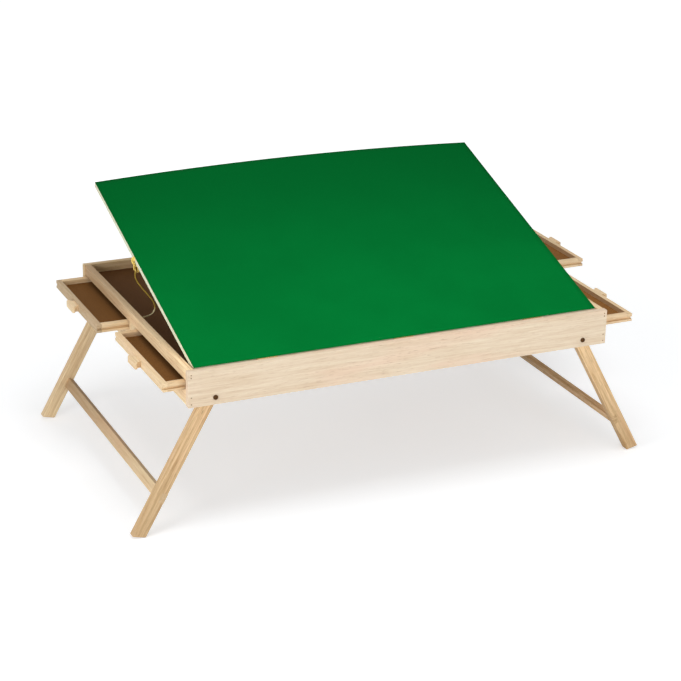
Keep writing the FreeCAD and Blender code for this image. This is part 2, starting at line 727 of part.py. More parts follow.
def prop_batten():
    """The batten that carries the prop's hinges: flat below, shaped to the bowed panel above."""
    front = PROP_PIN_Y + HINGE_GAP / 2
    half = PROP_WIDTH / 2
    wood = block(-half, half, front, front + PROP_BATTEN_WIDTH, PROP_BATTEN_UNDER, RIM + LID_BOW)
    place = front - LID_FRONT_Y
    above = bowed_slab(-half - 1, half + 1, place - 1, place + PROP_BATTEN_WIDTH + 1, -LID_TOP_THICKNESS, 2 * LID_BOW)
    return tilted(wood.cut([above] + lid_screws()))


# ---- prop ---------------------------------------------------------------------------------------
def prop_length():
    """Hinge pin to the middle of the foot's rounding, so that the foot stands just over its strips."""
    lean = math.radians(LID_TILT + PROP_LEAN)
    pin = tilted(Part.Vertex(PROP_AXIS)).Point
    above = PROP_BAR_TOP - FOOT_RADIUS - PROP_AXIS.z
    foot_z = FLOOR_Z + REST_STRIP_THICKNESS + REST_PLAY + FOOT_RADIUS
    return (pin.z + above * math.cos(lean) - foot_z) / math.sin(lean)


def prop_top_bar():
    """The bar of the prop that carries its hinges."""
    back = PROP_PIN_Y - HINGE_GAP / 2
    half = PROP_WIDTH / 2
    bar = block(-half, half, back - PROP_BAR_WIDTH, back, PROP_BAR_TOP - PROP_BAR_THICKNESS, PROP_BAR_TOP)
    return opened_prop(bar.cut(prop_screws()))


def prop_foot_bar():
    """The bar of the prop that stands in the rest strips' notches, rounded along its foot."""
    half = PROP_WIDTH / 2
    foot = PROP_PIN_Y - prop_length()
    middle = PROP_BAR_TOP - FOOT_RADIUS
    bar = block(-half, half, foot, foot + PROP_BAR_WIDTH, middle - FOOT_RADIUS, middle + FOOT_RADIUS)
    nose = rod(FOOT_RADIUS, Vector(-half, foot, middle), X_AXIS, PROP_WIDTH)
    return opened_prop(bar.fuse(nose).removeSplitter())


def prop_arms():
    """The two arms between the prop's top bar and foot bar."""
    front = PROP_PIN_Y - prop_length() + PROP_BAR_WIDTH
    back = PROP_PIN_Y - HINGE_GAP / 2 - PROP_BAR_WIDTH
    half = PROP_WIDTH / 2
    return group([
        opened_prop(block(end * half, end * (half - PROP_BAR_WIDTH), front, back,
                          PROP_BAR_TOP - PROP_BAR_THICKNESS, PROP_BAR_TOP))
        for end in ENDS.values()
    ])


# ---- stay cord ----------------------------------------------------------------------------------
def cord_path(points):
    """Straight runs joined by tangent arcs, each as large as its two runs allow."""
    edges, start = [], points[0]
    for before, corner, after in zip(points, points[1:], points[2:]):
        way_in, way_out = (corner - before), (after - corner)
        shorter = min(way_in.Length, way_out.Length)
        way_in.normalize()
        way_out.normalize()
        turn = way_in.getAngle(way_out)
        trim = 0.45 * shorter
        radius = trim / math.tan(turn / 2)
        print("cord arc radius %.1f mm, turn %.0f degrees" % (radius, math.degrees(turn)))
        arc_start, arc_end = corner - way_in * trim, corner + way_out * trim
        inward = (way_out - way_in).normalize()
        crest = corner + inward * (radius / math.cos(turn / 2) - radius)
        edges.append(Part.LineSegment(start, arc_start).toShape())
        edges.append(Part.Arc(arc_start, crest, arc_end).toShape())
        start = arc_end
    edges.append(Part.LineSegment(start, points[-1]).toShape())
    return Part.Wire(edges)


def stay_cord():
    """The cord that keeps the lid from going over too far."""
    route = cord_route()
    path = cord_path(route)
    section = Part.Wire(Part.makeCircle(CORD_DIAMETER / 2, route[0], route[1] - route[0]))
    solid = path.makePipeShell([section], True, False)
    expected = math.pi * (CORD_DIAMETER / 2) ** 2 * path.Length
    print("cord length %.1f mm, volume %.1f of %.1f mm3" % (path.Length, solid.Volume, expected))
    return solid


def bead(middle, direction, length, radius):
    """A plump rounded turn of the knot."""
    solid = rod(radius, middle - direction * (length / 2), direction, length)
    rims = [edge for edge in solid.Edges if isinstance(edge.Curve, Part.Circle)]
    return solid.makeFillet(radius * 0.8, rims)


def cord_knot():
    """The knot that the cord hangs from: a turn over the lid's end and two crossed beads under the lid."""
    end_x, under = -LID_LENGTH / 2, RIM - LID_THICKNESS
    y = LID_FRONT_Y + CORD_LID_PLACE
    turn = block(end_x - CORD_TAB_THICKNESS, end_x, y - CORD_TAB_WIDTH / 2, y + CORD_TAB_WIDTH / 2,
                 under - CORD_KNOT_RADIUS, RIM - 1)
    turn = turn.makeFillet(CORD_TAB_THICKNESS * 0.6, [edge for edge in turn.Edges if edge.CenterOfMass.x < end_x - 1])
    middle = Vector(end_x + CORD_SIDE_INSET, y, under - CORD_KNOT_RADIUS * 0.95)
    beads = bead(middle, X_AXIS, CORD_KNOT_LENGTH, CORD_KNOT_RADIUS)
    beads = beads.fuse(bead(middle, Y_AXIS, CORD_KNOT_LENGTH, CORD_KNOT_RADIUS * 0.87))
    lid_room = block(end_x, end_x + 20, y - 20, y + 20, under, RIM)
    knot = tilted(beads.fuse(turn).cut(lid_room))
    start, toward = cord_route()[:2]
    below = Part.makeCylinder(3 * CORD_KNOT_RADIUS, 10, start, toward - start)
    return knot.cut(below).removeSplitter()


# ---- drawers ------------------------------------------------------------------------------------
def drawer_places(end, side, opening):
    """A drawer's front, back and two sides: the outer faces' x and y."""
    front = end * (RAIL_OUTER_X + opening)
    back = front - end * DRAWER_LENGTH
    near = side * (BAY_INNER_Y + DRAWER_SIDE_CLEARANCE)
    far = side * (INNER_Y - DRAWER_SIDE_CLEARANCE)
    return front, back, near, far


def groove_cut(end, side, opening):
    """The two grooves of a drawer, open at its front and at its back."""
    front, back, near, far = drawer_places(end, side, opening)
    low, high = GROOVE_Z - DRAWER_GROOVE_HEIGHT / 2, GROOVE_Z + DRAWER_GROOVE_HEIGHT / 2
    x0, x1 = front + end, back - end
    return [
        block(x0, x1, near - side, near + side * DRAWER_GROOVE_DEPTH, low, high),
        block(x0, x1, far + side, far - side * DRAWER_GROOVE_DEPTH, low, high),
    ]


def drawer_bottom(end, side, opening, play=0.0):
    """The hardboard bottom, let into the sides, the front and the back."""
    front, back, near, far = drawer_places(end, side, opening)
    inlet = DRAWER_BOTTOM_INLET - play
    x0 = front - end * (DRAWER_FRONT_THICKNESS - inlet)
    x1 = back + end * (DRAWER_BACK_THICKNESS - inlet)
    y0 = near + side * (DRAWER_SIDE_THICKNESS - inlet)
    y1 = far - side * (DRAWER_SIDE_THICKNESS - inlet)
    top = DRAWER_TOP - DRAWER_INSIDE_DEPTH
    return block(x0, x1, y0, y1, top - DRAWER_BOTTOM_THICKNESS, top)


def drawer_front(end, side, opening):
    """The drawer's front, grooved through at its two ends."""
    front, _, near, far = drawer_places(end, side, opening)
    wood = plank(front, front - end * DRAWER_FRONT_THICKNESS, near, far, DRAWER_UNDER, DRAWER_TOP)
    return wood.cut(groove_cut(end, side, opening) + [drawer_bottom(end, side, opening)])


def drawer_back(end, side, opening):
    """The drawer's back."""
    _, back, near, far = drawer_places(end, side, opening)
    wood = plank(back, back + end * DRAWER_BACK_THICKNESS, near, far, DRAWER_UNDER, DRAWER_TOP)
    return wood.cut(groove_cut(end, side, opening) + [drawer_bottom(end, side, opening)])


def drawer_sides(end, side, opening):
    """The drawer's two grooved sides."""
    front, back, near, far = drawer_places(end, side, opening)
    x0, x1 = front - end * DRAWER_FRONT_THICKNESS, back + end * DRAWER_BACK_THICKNESS
    cuts = groove_cut(end, side, opening) + [drawer_bottom(end, side, opening)]
    return group([
        plank(x0, x1, near, near + side * DRAWER_SIDE_THICKNESS, DRAWER_UNDER, DRAWER_TOP).cut(cuts),
        plank(x0, x1, far, far - side * DRAWER_SIDE_THICKNESS, DRAWER_UNDER, DRAWER_TOP).cut(cuts),
    ])


def drawer_handle(end, side, opening):
    """A wooden pull with a narrow neck and a wider head, rounded at the corners."""
    front, _, near, far = drawer_places(end, side, opening)
    middle_y = (near + far) / 2
    middle_z = (DRAWER_UNDER + DRAWER_TOP) / 2
    z0, z1 = middle_z - HANDLE_HEIGHT / 2, middle_z + HANDLE_HEIGHT / 2
    neck_half, half = HANDLE_NECK_LENGTH / 2, HANDLE_LENGTH / 2
    step = HANDLE_NECK_REACH
    outline = [
        (0, -neck_half), (0, neck_half), (step, neck_half), (step + 3, half), (HANDLE_REACH, half),
        (HANDLE_REACH, -half), (step + 3, -half), (step, -neck_half),
    ]
    corners = [Vector(front + end * reach, middle_y + along, z0) for reach, along in outline]
    solid = Part.Face(Part.makePolygon(corners + corners[:1])).extrude(Vector(0, 0, z1 - z0))
    tip = front + end * HANDLE_REACH
    upright = [edge for edge in solid.Edges if abs(edge.CenterOfMass.x - tip) < 0.01
               and abs(edge.CenterOfMass.z - middle_z) < 0.01]
    solid = solid.makeFillet(2.5, upright)
    outer = [edge for edge in solid.Edges if abs(edge.CenterOfMass.z - middle_z) > HANDLE_HEIGHT * 0.49
             and abs(edge.CenterOfMass.x - front) > 0.01]
    return solid.makeFillet(EASED, outer)


DRAWER_PIECES = {
    "front": drawer_front,
    "back": drawer_back,
    "sides": drawer_sides,
    "bottom": drawer_bottom,
    "handle": drawer_handle,
}


# ---- the whole table ----------------------------------------------------------------------------
def tray_nodes():
    """The tray and everything fixed to it."""
    front = long_board(-1).cut(lid_hinge_fixed_screws())
    return {
        "front_board": front,
        "back_board": long_board(1),
        "left_top_rail": top_rail(-1),
        "right_top_rail": top_rail(1),
        "bottom_rails": bottom_rails(),
        "tray_panel": tray_panel(),
        "centre_beam": centre_beam(),
        "cross_bars": cross_bars(),
        "drawer_runners": drawer_runners(),
        "leg_stop_blocks": leg_stop_blocks(),
        "lid_rest_blocks": lid_rest_blocks(),
        "prop_rest_strips": prop_rest_strips(),
        "frame_nails": frame_nails(),
        "leg_bolts": leg_bolts(),
        "leg_nuts": leg_nuts(),
        "lid_hinge_fixed_leaves": lid_hinge_fixed_leaves(),
        "lid_hinge_pins": group([hinge_pin(LID_AXIS, x) for x in lid_hinge_places()]),
        "lid_hinge_screws": group(lid_hinge_fixed_screws()),
    }


def leg_nodes():
    """The two folding leg frames."""
    nodes = {}
    for end_name, end in ENDS.items():
        for side_name, side in FACES.items():
            nodes["%s_%s_leg" % (end_name, side_name)] = leg(end, side)
        nodes["%s_stretcher" % end_name] = stretcher(end)
    return nodes


def lid_nodes():
    """The tilting lid."""
    return {
        "lid_felt": lid_felt(),
        "lid_panel": lid_panel(),
        "lid_long_battens": lid_long_battens(),
        "lid_side_battens": lid_side_battens(),
        "prop_batten": prop_batten(),
        "lid_hinge_moving_leaves": lid_hinge_moving_leaves(),
        "lid_screws": group([tilted(item) for item in lid_screws()]),
        "prop_hinge_lid_leaves": prop_hinge_lid_leaves(),
        "prop_hinge_pins": group([tilted(hinge_pin(PROP_AXIS, x)) for x in prop_hinge_places()]),
        "cord_knot": cord_knot(),
    }


def prop_nodes():
    """The folding prop."""
    return {
        "prop_top_bar": prop_top_bar(),
        "prop_foot_bar": prop_foot_bar(),
        "prop_arms": prop_arms(),
        "prop_hinge_prop_leaves": prop_hinge_prop_leaves(),
        "prop_screws": group([opened_prop(item) for item in prop_screws()]),
    }


def drawer_nodes():
    """The four drawers."""
    nodes = {}
    for end_name, end in ENDS.items():
        for side_name, side in FACES.items():
            opening = DRAWER_OPENINGS["%s_%s" % (end_name, side_name)]
            for piece, make in DRAWER_PIECES.items():
                nodes["%s_%s_drawer_%s" % (end_name, side_name, piece)] = make(end, side, opening)
    return nodes


def main():
    """Build every node and write it."""
    os.makedirs("parts", exist_ok=True)
    nodes = {}
    for make in (tray_nodes, leg_nodes, lid_nodes, prop_nodes, drawer_nodes):
        nodes.update(make())
    nodes["stay_cord"] = stay_cord()
    for name, shape in nodes.items():
        export(name, shape)
    print("%d nodes" % len(nodes))


main()
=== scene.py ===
"""Looks for a folding puzzle table: a wooden tray on folding legs, a felt-covered lid that tilts up on a
prop, four drawers and a yellow stay cord. Everything is in metres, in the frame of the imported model."""

import logging
import math
from dataclasses import dataclass
from enum import Enum
from typing import Callable, ClassVar, Mapping, Optional, Sequence, Union

import bmesh
import bpy
from mathutils import Matrix, Vector


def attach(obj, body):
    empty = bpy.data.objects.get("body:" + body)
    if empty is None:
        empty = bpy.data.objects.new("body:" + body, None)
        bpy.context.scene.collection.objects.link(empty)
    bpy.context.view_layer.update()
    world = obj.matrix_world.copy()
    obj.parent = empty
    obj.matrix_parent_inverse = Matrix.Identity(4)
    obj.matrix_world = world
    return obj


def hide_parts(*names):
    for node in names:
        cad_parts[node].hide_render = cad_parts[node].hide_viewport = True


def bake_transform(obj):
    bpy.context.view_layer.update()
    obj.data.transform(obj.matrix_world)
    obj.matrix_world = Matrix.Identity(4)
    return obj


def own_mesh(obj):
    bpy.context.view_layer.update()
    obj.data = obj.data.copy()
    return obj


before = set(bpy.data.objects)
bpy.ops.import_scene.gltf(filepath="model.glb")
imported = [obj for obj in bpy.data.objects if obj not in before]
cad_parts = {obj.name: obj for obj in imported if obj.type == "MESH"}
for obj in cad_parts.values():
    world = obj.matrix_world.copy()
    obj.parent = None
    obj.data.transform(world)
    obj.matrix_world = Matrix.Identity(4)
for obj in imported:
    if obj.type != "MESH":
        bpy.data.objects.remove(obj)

LOG = logging.getLogger("puzzle_table")
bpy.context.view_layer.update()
LEG_SPREAD = 28.9  # degrees that the legs lean out from upright

Colour = tuple[float, float, float]
Number = Union[int, float]


def srgb(red: Number, green: Number, blue: Number) -> Colour:
    """Turn a colour in 0 to 255 display values into the linear values that shaders take.

    Args:
        red: Red, 0 to 255.
        green: Green, 0 to 255.
        blue: Blue, 0 to 255.

    Returns:
        The linear colour.
    """

    def linear(level: Number) -> float:
        """Turn one channel."""
        share = level / 255
        return share / 12.92 if share <= 0.04045 else ((share + 0.055) / 1.055) ** 2.4

    return linear(red), linear(green), linear(blue)


def toned(shade: Colour, tone: float) -> Colour:
    """Lighten or darken a colour by a factor."""
    return tuple(level * tone for level in shade)


# ---- shader maths --------------------------------------------------------------------------------
class Value:
    """A number socket that Python's operators work on, each adding a Math node."""

    def __init__(self, graph: "Graph", socket: bpy.types.NodeSocket) -> None:
        """Wrap a socket.

        Args:
            graph: The material's graph that the socket is in.
            socket: The output socket.
        """
        self.graph = graph
        self.socket = socket

    def _math(self, operation: str, *values: Union["Value", Number], clamp: bool = False) -> "Value":
        """Add a Math node.

        Args:
            operation: The Math node's operation.
            values: Its inputs in order.
            clamp: Whether the result is held between 0 and 1.

        Returns:
            The result.
        """
        inputs = dict(enumerate(values))
        return self.graph.node("ShaderNodeMath", {"operation": operation, "use_clamp": clamp}, inputs)

    def __add__(self, other: Union["Value", Number]) -> "Value":
        """Add."""
        return self._math("ADD", self, other)

    def __radd__(self, other: Number) -> "Value":
        """Add, with the number first."""
        return self._math("ADD", other, self)

    def __sub__(self, other: Union["Value", Number]) -> "Value":
        """Subtract."""
        return self._math("SUBTRACT", self, other)

    def __rsub__(self, other: Number) -> "Value":
        """Subtract from a number."""
        return self._math("SUBTRACT", other, self)

    def __mul__(self, other: Union["Value", Number]) -> "Value":
        """Multiply."""
        return self._math("MULTIPLY", self, other)

    def __rmul__(self, other: Number) -> "Value":
        """Multiply, with the number first."""
        return self._math("MULTIPLY", other, self)

    def __pow__(self, power: Number) -> "Value":
        """Raise to a power."""
        return self._math("POWER", self, power)

    def fraction(self) -> "Value":
        """Keep what is after the decimal point."""
        return self._math("FRACT", self)

    def root(self) -> "Value":
        """Take the square root."""
        return self._math("SQRT", self)

    def held(self) -> "Value":
        """Hold between 0 and 1."""
        return self._math("ADD", self, 0.0, clamp=True)

    def smooth(self, low: Number, high: Number) -> "Value":
        """Rise smoothly from 0 to 1 between two levels.

        Args:
            low: Where the rise starts. It may be above high, for a fall.
            high: Where it ends.

        Returns:
            The share, 0 to 1.
        """
        settings = {"interpolation_type": "SMOOTHSTEP", "clamp": True}
        if low < high:
            ends = {1: low, 2: high, 3: 0.0, 4: 1.0}
        else:
            ends = {1: high, 2: low, 3: 1.0, 4: 0.0}
        return self.graph.node("ShaderNodeMapRange", settings, {0: self, **ends})


class Graph:
    """One material's nodes."""

    def __init__(self, name: str) -> None:
        """Start a material with a Principled surface.

        Args:
            name: The material's name.
        """
        self.material = bpy.data.materials.new(name)
        self.material.use_nodes = True
        self.tree = self.material.node_tree
        self.tree.nodes.clear()
        self.output = self.tree.nodes.new("ShaderNodeOutputMaterial")
        self.surface = self.tree.nodes.new("ShaderNodeBsdfPrincipled")
        self.tree.links.new(self.surface.outputs[0], self.output.inputs["Surface"])

    def put(self, socket: bpy.types.NodeSocket, value: object) -> None:
        """Link or set one input.

        Args:
            socket: The input socket.
            value: A Value to link, or a number, colour or vector to set.
        """
        if isinstance(value, Value):
            self.tree.links.new(value.socket, socket)
        elif socket.type == "RGBA" and len(value) == 3:
            socket.default_value = (*value, 1.0)
        else:
            socket.default_value = value

    def node(self, kind: str, settings: Mapping[str, object], inputs: Mapping[object, object],
             output: Union[int, str] = 0) -> Value:
        """Add any node.

        Args:
            kind: The node's type.
            settings: Its properties, set before its sockets.
            inputs: Values or links by socket name or number.
            output: Which output to hand back.

        Returns:
            That output.
        """
        made = self.tree.nodes.new(kind)
        for key, setting in settings.items():
            setattr(made, key, setting)
        for key, value in inputs.items():
            self.put(made.inputs[key], value)
        return Value(self, made.outputs[output])

    def mix(self, factor: Union[Value, Number], first: object, second: object) -> Value:
        """Mix two colours.

        Args:
            factor: How much of the second, 0 to 1.
            first: A colour or a link.
            second: A colour or a link.

        Returns:
            The mixed colour.
        """
        settings = {"data_type": "RGBA", "clamp_factor": True}
        return self.node("ShaderNodeMix", settings, {0: factor, 6: first, 7: second}, 2)

    def place(self, turn: Sequence[float] = (0, 0, 0), shift: Sequence[float] = (0, 0, 0)) -> Value:
        """Give the piece's own coordinates, turned and then shifted.

        Args:
            turn: Angles about X, Y and Z.
            shift: Distances in metres.

        Returns:
            The coordinates.
        """
        own = self.node("ShaderNodeTexCoord", {}, {}, "Object")
        inputs = {"Vector": own, "Location": shift, "Rotation": turn}
        return self.node("ShaderNodeMapping", {"vector_type": "POINT"}, inputs)

    def noise(self, place: Value, pattern: "Pattern") -> Value:
        """Add a noise pattern.

        Args:
            place: The coordinates.
            pattern: How fine and how rough it is.

        Returns:
            The level, about 0.5.
        """
        scaled = {"Vector": place, "Rotation": pattern.turn, "Scale": pattern.fineness}
        fitted = self.node("ShaderNodeMapping", {"vector_type": "POINT"}, scaled)
        inputs = {"Vector": fitted, "Scale": 1.0, "Detail": pattern.octaves, "Roughness": pattern.roughness,
                  "Distortion": pattern.swirl}
        return self.node("ShaderNodeTexNoise", {}, inputs)

    def parts(self, place: Value) -> tuple[Value, Value, Value]:
        """Split coordinates.

        Args:
            place: The coordinates.

        Returns:
            X, Y and Z.
        """
        split = self.tree.nodes.new("ShaderNodeSeparateXYZ")
        self.put(split.inputs[0], place)
        return tuple(Value(self, split.outputs[i]) for i in range(3))

    def bump(self, height: Value, distance: float, strength: float) -> Value:
        """Turn a height into a surface normal.

        Args:
            height: The height, 0 to 1.
            distance: What a height of 1 stands for, in metres.
            strength: How much of it shows.

        Returns:
            The normal.
        """
        inputs = {"Height": height, "Distance": distance, "Strength": strength}
        return self.node("ShaderNodeBump", {}, inputs)

    def background_rays(self) -> Value:
        """Pick out the rays that see the pale background.

        Returns:
            1 for rays from the camera, over gloss or through glass, and 0 for the others.
        """
        kinds = ("Is Camera Ray", "Is Glossy Ray", "Is Transmission Ray")
        camera, glossy, through = (self.node("ShaderNodeLightPath", {}, {}, kind) for kind in kinds)
        return (camera + glossy + through).held()

    def finish(self, colour: object, roughness: object, **constants: object) -> bpy.types.Material:
        """Fill the surface's main inputs.

        Args:
            colour: Base colour or link.
            roughness: Roughness or link.
            constants: Other inputs, by name with underscores for spaces.

        Returns:
            The finished material.
        """
        self.put(self.surface.inputs["Base Color"], colour)
        self.put(self.surface.inputs["Roughness"], roughness)
        for key, value in constants.items():
            self.put(self.surface.inputs[key.replace("_", " ")], value)
        return self.material


class WorldGraph(Graph):
    """The world's nodes."""

    def __init__(self, name: str) -> None:
        """Start a world without a background.

        Args:
            name: The world's name.
        """
        self.world = bpy.data.worlds.new(name)
        self.world.use_nodes = True
        self.tree = self.world.node_tree
        self.tree.nodes.clear()
        self.output = self.tree.nodes.new("ShaderNodeOutputWorld")


# ---- finishes ------------------------------------------------------------------------------------
class Grain(Enum):
    """Which way a piece's grain runs, as the turn that lays it along X."""

    LENGTH = (0.0, 0.0, 0.0)
    DEPTH = (0.0, 0.0, math.radians(-90))
    LEFT_LEG = (0.0, math.radians(-90 - LEG_SPREAD), 0.0)
    RIGHT_LEG = (0.0, math.radians(-90 + LEG_SPREAD), 0.0)


@dataclass(frozen=True)
class Pattern:
    """A noise pattern.

    Fineness is its cells per metre along X, Y and Z, roughness how strong each finer octave is, swirl how
    much it is distorted, and turn the angles of its axes.
    """

    fineness: tuple[float, float, float]
    octaves: float = 2.0
    roughness: float = 0.5
    swirl: float = 0.0
    turn: tuple[float, float, float] = (0.0, 0.0, 0.0)


@dataclass(frozen=True)
class OpenGrainWood:
    """Sawn and sanded pale wood with open pores.

    Its rings run through the whole piece, so that the ends show end grain. A depth says how strongly a
    pattern shows in the colour, relief is the height of the grain in metres, and gloss the specular level.
    """

    name: str
    pale: Colour
    tan: Colour
    blush: Colour
    pore: Colour
    streak_depth: float = 1.8
    fine_depth: float = 0.95
    drift_depth: float = 0.8
    tan_share: float = 0.32
    blush_share: float = 0.6
    ring_pitch: float = 0.0105
    ring_depth: float = 0.22
    ring_wander: float = 0.034
    pore_depth: float = 0.5
    roughness: float = 0.6
    relief: float = 0.00012
    gloss: float = 0.12
    streaks: ClassVar[Pattern] = Pattern((10.0, 240.0, 240.0), 4.0, 0.62, 0.35)
    patches: ClassVar[Pattern] = Pattern((4.0, 24.0, 24.0), 2.0, 0.55)
    drift: ClassVar[Pattern] = Pattern((2.1, 7.0, 7.0))
    wander: ClassVar[Pattern] = Pattern((1.7, 16.0, 16.0))
    fine: ClassVar[Pattern] = Pattern((26.0, 820.0, 820.0), 3.0, 0.6)
    fibre: ClassVar[Pattern] = Pattern((70.0, 2600.0, 2600.0), 2.0, 0.6)
    fleck: ClassVar[Pattern] = Pattern((75.0, 900.0, 900.0), 1.0, 0.4)

    def rings(self, graph: Graph, along: Value, seed: int) -> Value:
        """Draw the late wood of rings round a pith that lies outside the piece.

        Args:
            graph: The material's graph.
            along: The piece's coordinates, with its grain along X.
            seed: Picks the pith's place.

        Returns:
            The late wood, 0 to 1.
        """
        _, across, depth = graph.parts(along)
        pith_y = 0.16 + 0.05 * math.cos(seed)
        pith_z = 0.12 + 0.06 * math.sin(seed * 3.1)
        radius = ((across + pith_y) ** 2 + (depth + pith_z) ** 2).root()
        swayed = radius + graph.noise(along, self.wander) * self.ring_wander
        ring = (swayed * (1 / self.ring_pitch)).fraction()
        return ring.smooth(0.15, 0.9) * ring.smooth(1.0, 0.92)

    def dress(self, piece: str, grain: Grain, seed: int, tone: float = 1.0,
              painted_shade: Optional[Callable[[Graph], Value]] = None) -> bpy.types.Material:
        """Make the material for one piece.

        Args:
            piece: The piece's name.
            grain: Which way its grain runs.
            seed: Picks the part of the log that the piece is cut from.
            tone: How much lighter the piece is than its kind.
            painted_shade: Gives how much painted shade darkens it at each place.

        Returns:
            The material.
        """
        graph = Graph("%s_%s" % (self.name, piece))
        cut = (0.37 * seed, 0.11 * math.sin(seed * 2.4), 0.09 * math.cos(seed * 1.7))
        along = graph.place(grain.value, cut)
        patches, fine = graph.noise(along, self.patches), graph.noise(along, self.fine)
        late = self.rings(graph, along, seed) * patches.smooth(0.36, 0.62)
        pores = graph.noise(along, self.fleck).smooth(0.61, 0.73) * (0.4 + 0.6 * late)
        streak = (self.tan_share + (graph.noise(along, self.streaks) - 0.5) * self.streak_depth
                  + late * self.ring_depth + (fine - 0.5) * self.fine_depth
                  + (graph.noise(along, self.drift) - 0.5) * self.drift_depth).held()
        body = graph.mix(streak, toned(self.pale, tone), toned(self.tan, tone))
        body = graph.mix(patches.smooth(0.45, 0.7) * self.blush_share, body, toned(self.blush, tone))
        colour = graph.mix(pores * self.pore_depth, body, self.pore)
        # Painted shade: the wood is drawn darker where shade falls on the piece.
        if painted_shade:
            colour = graph.mix(painted_shade(graph), colour, self.pore)
        height = graph.noise(along, self.fibre) * 0.35 + fine * 0.4 - pores * 0.9
        normal = graph.bump(height, self.relief, 0.55)
        rough = self.roughness + (fine - 0.5) * 0.16 + pores * 0.15
        return graph.finish(colour, rough, Normal=normal, Specular_IOR_Level=self.gloss)


@dataclass(frozen=True)
class Hardboard:
    """Smooth brown pressed board with short fibres in it."""

    name: str
    body: Colour
    dark: Colour
    light: Colour
    roughness: float = 0.72
    relief: float = 0.0001
    gloss: float = 0.02
    speckle: ClassVar[Pattern] = Pattern((620.0, 620.0, 620.0), 3.0, 0.7, 0.6)
    fibres: ClassVar[Pattern] = Pattern((260.0, 900.0, 500.0), 2.0, 0.6, 1.2, (0.0, 0.0, 0.6))
    cloud: ClassVar[Pattern] = Pattern((9.0, 9.0, 9.0), 3.0, 0.55)

    def dress(self, piece: str, seed: int, tone: float = 1.0) -> bpy.types.Material:
        """Make the material for one board.

        Args:
            piece: The piece's name.
            seed: Picks the part of the pattern.
            tone: How much lighter the board is than its kind.

        Returns:
            The material.
        """
        graph = Graph("%s_%s" % (self.name, piece))
        own = graph.place(shift=(seed * 0.73, seed * 0.31, 0))
        speckle, fibres = graph.noise(own, self.speckle), graph.noise(own, self.fibres)
        body = toned(self.body, tone)
        colour = graph.mix(speckle.smooth(0.5, 0.7) * 0.75, body, toned(self.dark, tone))
        colour = graph.mix(fibres.smooth(0.58, 0.74) * 0.6, colour, toned(self.light, tone))
        colour = graph.mix((graph.noise(own, self.cloud) - 0.4) * 0.8, colour, toned(body, 0.72))
        normal = graph.bump(speckle * 0.6 + fibres * 0.4, self.relief, 0.6)
        rough = self.roughness + (speckle - 0.5) * 0.3
        return graph.finish(colour, rough, Normal=normal, Specular_IOR_Level=self.gloss)


@dataclass(frozen=True)
class Felt:
    """Pressed green felt: matted fibres with a faint nap, and painted shade that darkens it toward the
    back.
    """

    name: str
    body: Colour
    shade: Colour
    fibre: Colour
    front_y: float = -0.26
    back_y: float = 0.3
    back_shade_share: float = 0.95
    back_shade_tone: float = 0.56
    roughness: float = 0.95
    relief: float = 0.0003
    gloss: float = 0.02
    matting: ClassVar[Pattern] = Pattern((900.0, 900.0, 900.0), 3.0, 0.65, 1.4)
    hairs: ClassVar[Pattern] = Pattern((420.0, 1500.0, 800.0), 2.0, 0.6, 2.2, (0.0, 0.0, 0.9))
    crossed_hairs: ClassVar[Pattern] = Pattern((1500.0, 420.0, 800.0), 2.0, 0.6, 2.2, (0.0, 0.0, -0.4))
    nap: ClassVar[Pattern] = Pattern((7.0, 7.0, 7.0), 4.0, 0.55)

    def dress(self) -> bpy.types.Material:
        """Make the material.

        Returns:
            The material.
        """
        graph = Graph(self.name)
        own = graph.place()
        matted, nap = graph.noise(own, self.matting), graph.noise(own, self.nap)
        hairs, crossed = graph.noise(own, self.hairs), graph.noise(own, self.crossed_hairs)
        # Painted shade: the felt is drawn darker toward the back, where less light falls on the tilted lid.
        back = graph.parts(own)[1].smooth(self.front_y, self.back_y)
        colour = graph.mix(nap.smooth(0.3, 0.7) * 0.5, self.body, self.shade)
        colour = graph.mix(back * self.back_shade_share, colour, toned(self.body, self.back_shade_tone))
        colour = graph.mix(matted.smooth(0.46, 0.66) * 0.55, colour, self.shade)
        lint = hairs.smooth(0.6, 0.75) * 0.35 + crossed.smooth(0.62, 0.76) * 0.3
        colour = graph.mix(lint, colour, self.fibre)
        normal = graph.bump(matted * 0.6 + hairs * 0.3 + crossed * 0.3, self.relief, 0.7)
        return graph.finish(colour, self.roughness, Normal=normal, Specular_IOR_Level=self.gloss)


@dataclass(frozen=True)
class SpunCord:
    """Yellow cord of twisted yarn, with painted light that makes its lowest part pale."""

    name: str
    body: Colour
    shade: Colour
    painted_light: Colour
    painted_light_fade: float = 0.012
    roughness: float = 0.8
    relief: float = 0.00016
    sheen: float = 0.2
    gloss: float = 0.25
    fuzz: ClassVar[Pattern] = Pattern((2600.0, 2600.0, 2600.0), 3.0, 0.6, 1.0)
    soil: ClassVar[Pattern] = Pattern((140.0, 140.0, 140.0))

    def dress(self, painted_light_below: float = 0.0) -> bpy.types.Material:
        """Make the material.

        Args:
            painted_light_below: The height under which painted light makes the yarn pale.

        Returns:
            The material.
        """
        graph = Graph(self.name)
        own = graph.place()
        fuzz, soil = graph.noise(own, self.fuzz), graph.noise(own, self.soil)
        colour = graph.mix(fuzz.smooth(0.4, 0.68), self.body, self.shade)
        colour = graph.mix((soil - 0.4) * 0.6, colour, self.shade)
        # Painted light: the yarn is drawn pale below a height, where light falls on the cord's lowest
        # stretch.
        if painted_light_below:
            painted_light = graph.parts(own)[2].smooth(painted_light_below, painted_light_below - self.painted_light_fade)
            colour = graph.mix(painted_light, colour, self.painted_light)
        normal = graph.bump(fuzz, self.relief, 0.8)
        return graph.finish(colour, self.roughness, Normal=normal, Sheen_Weight=self.sheen,
                            Specular_IOR_Level=self.gloss)


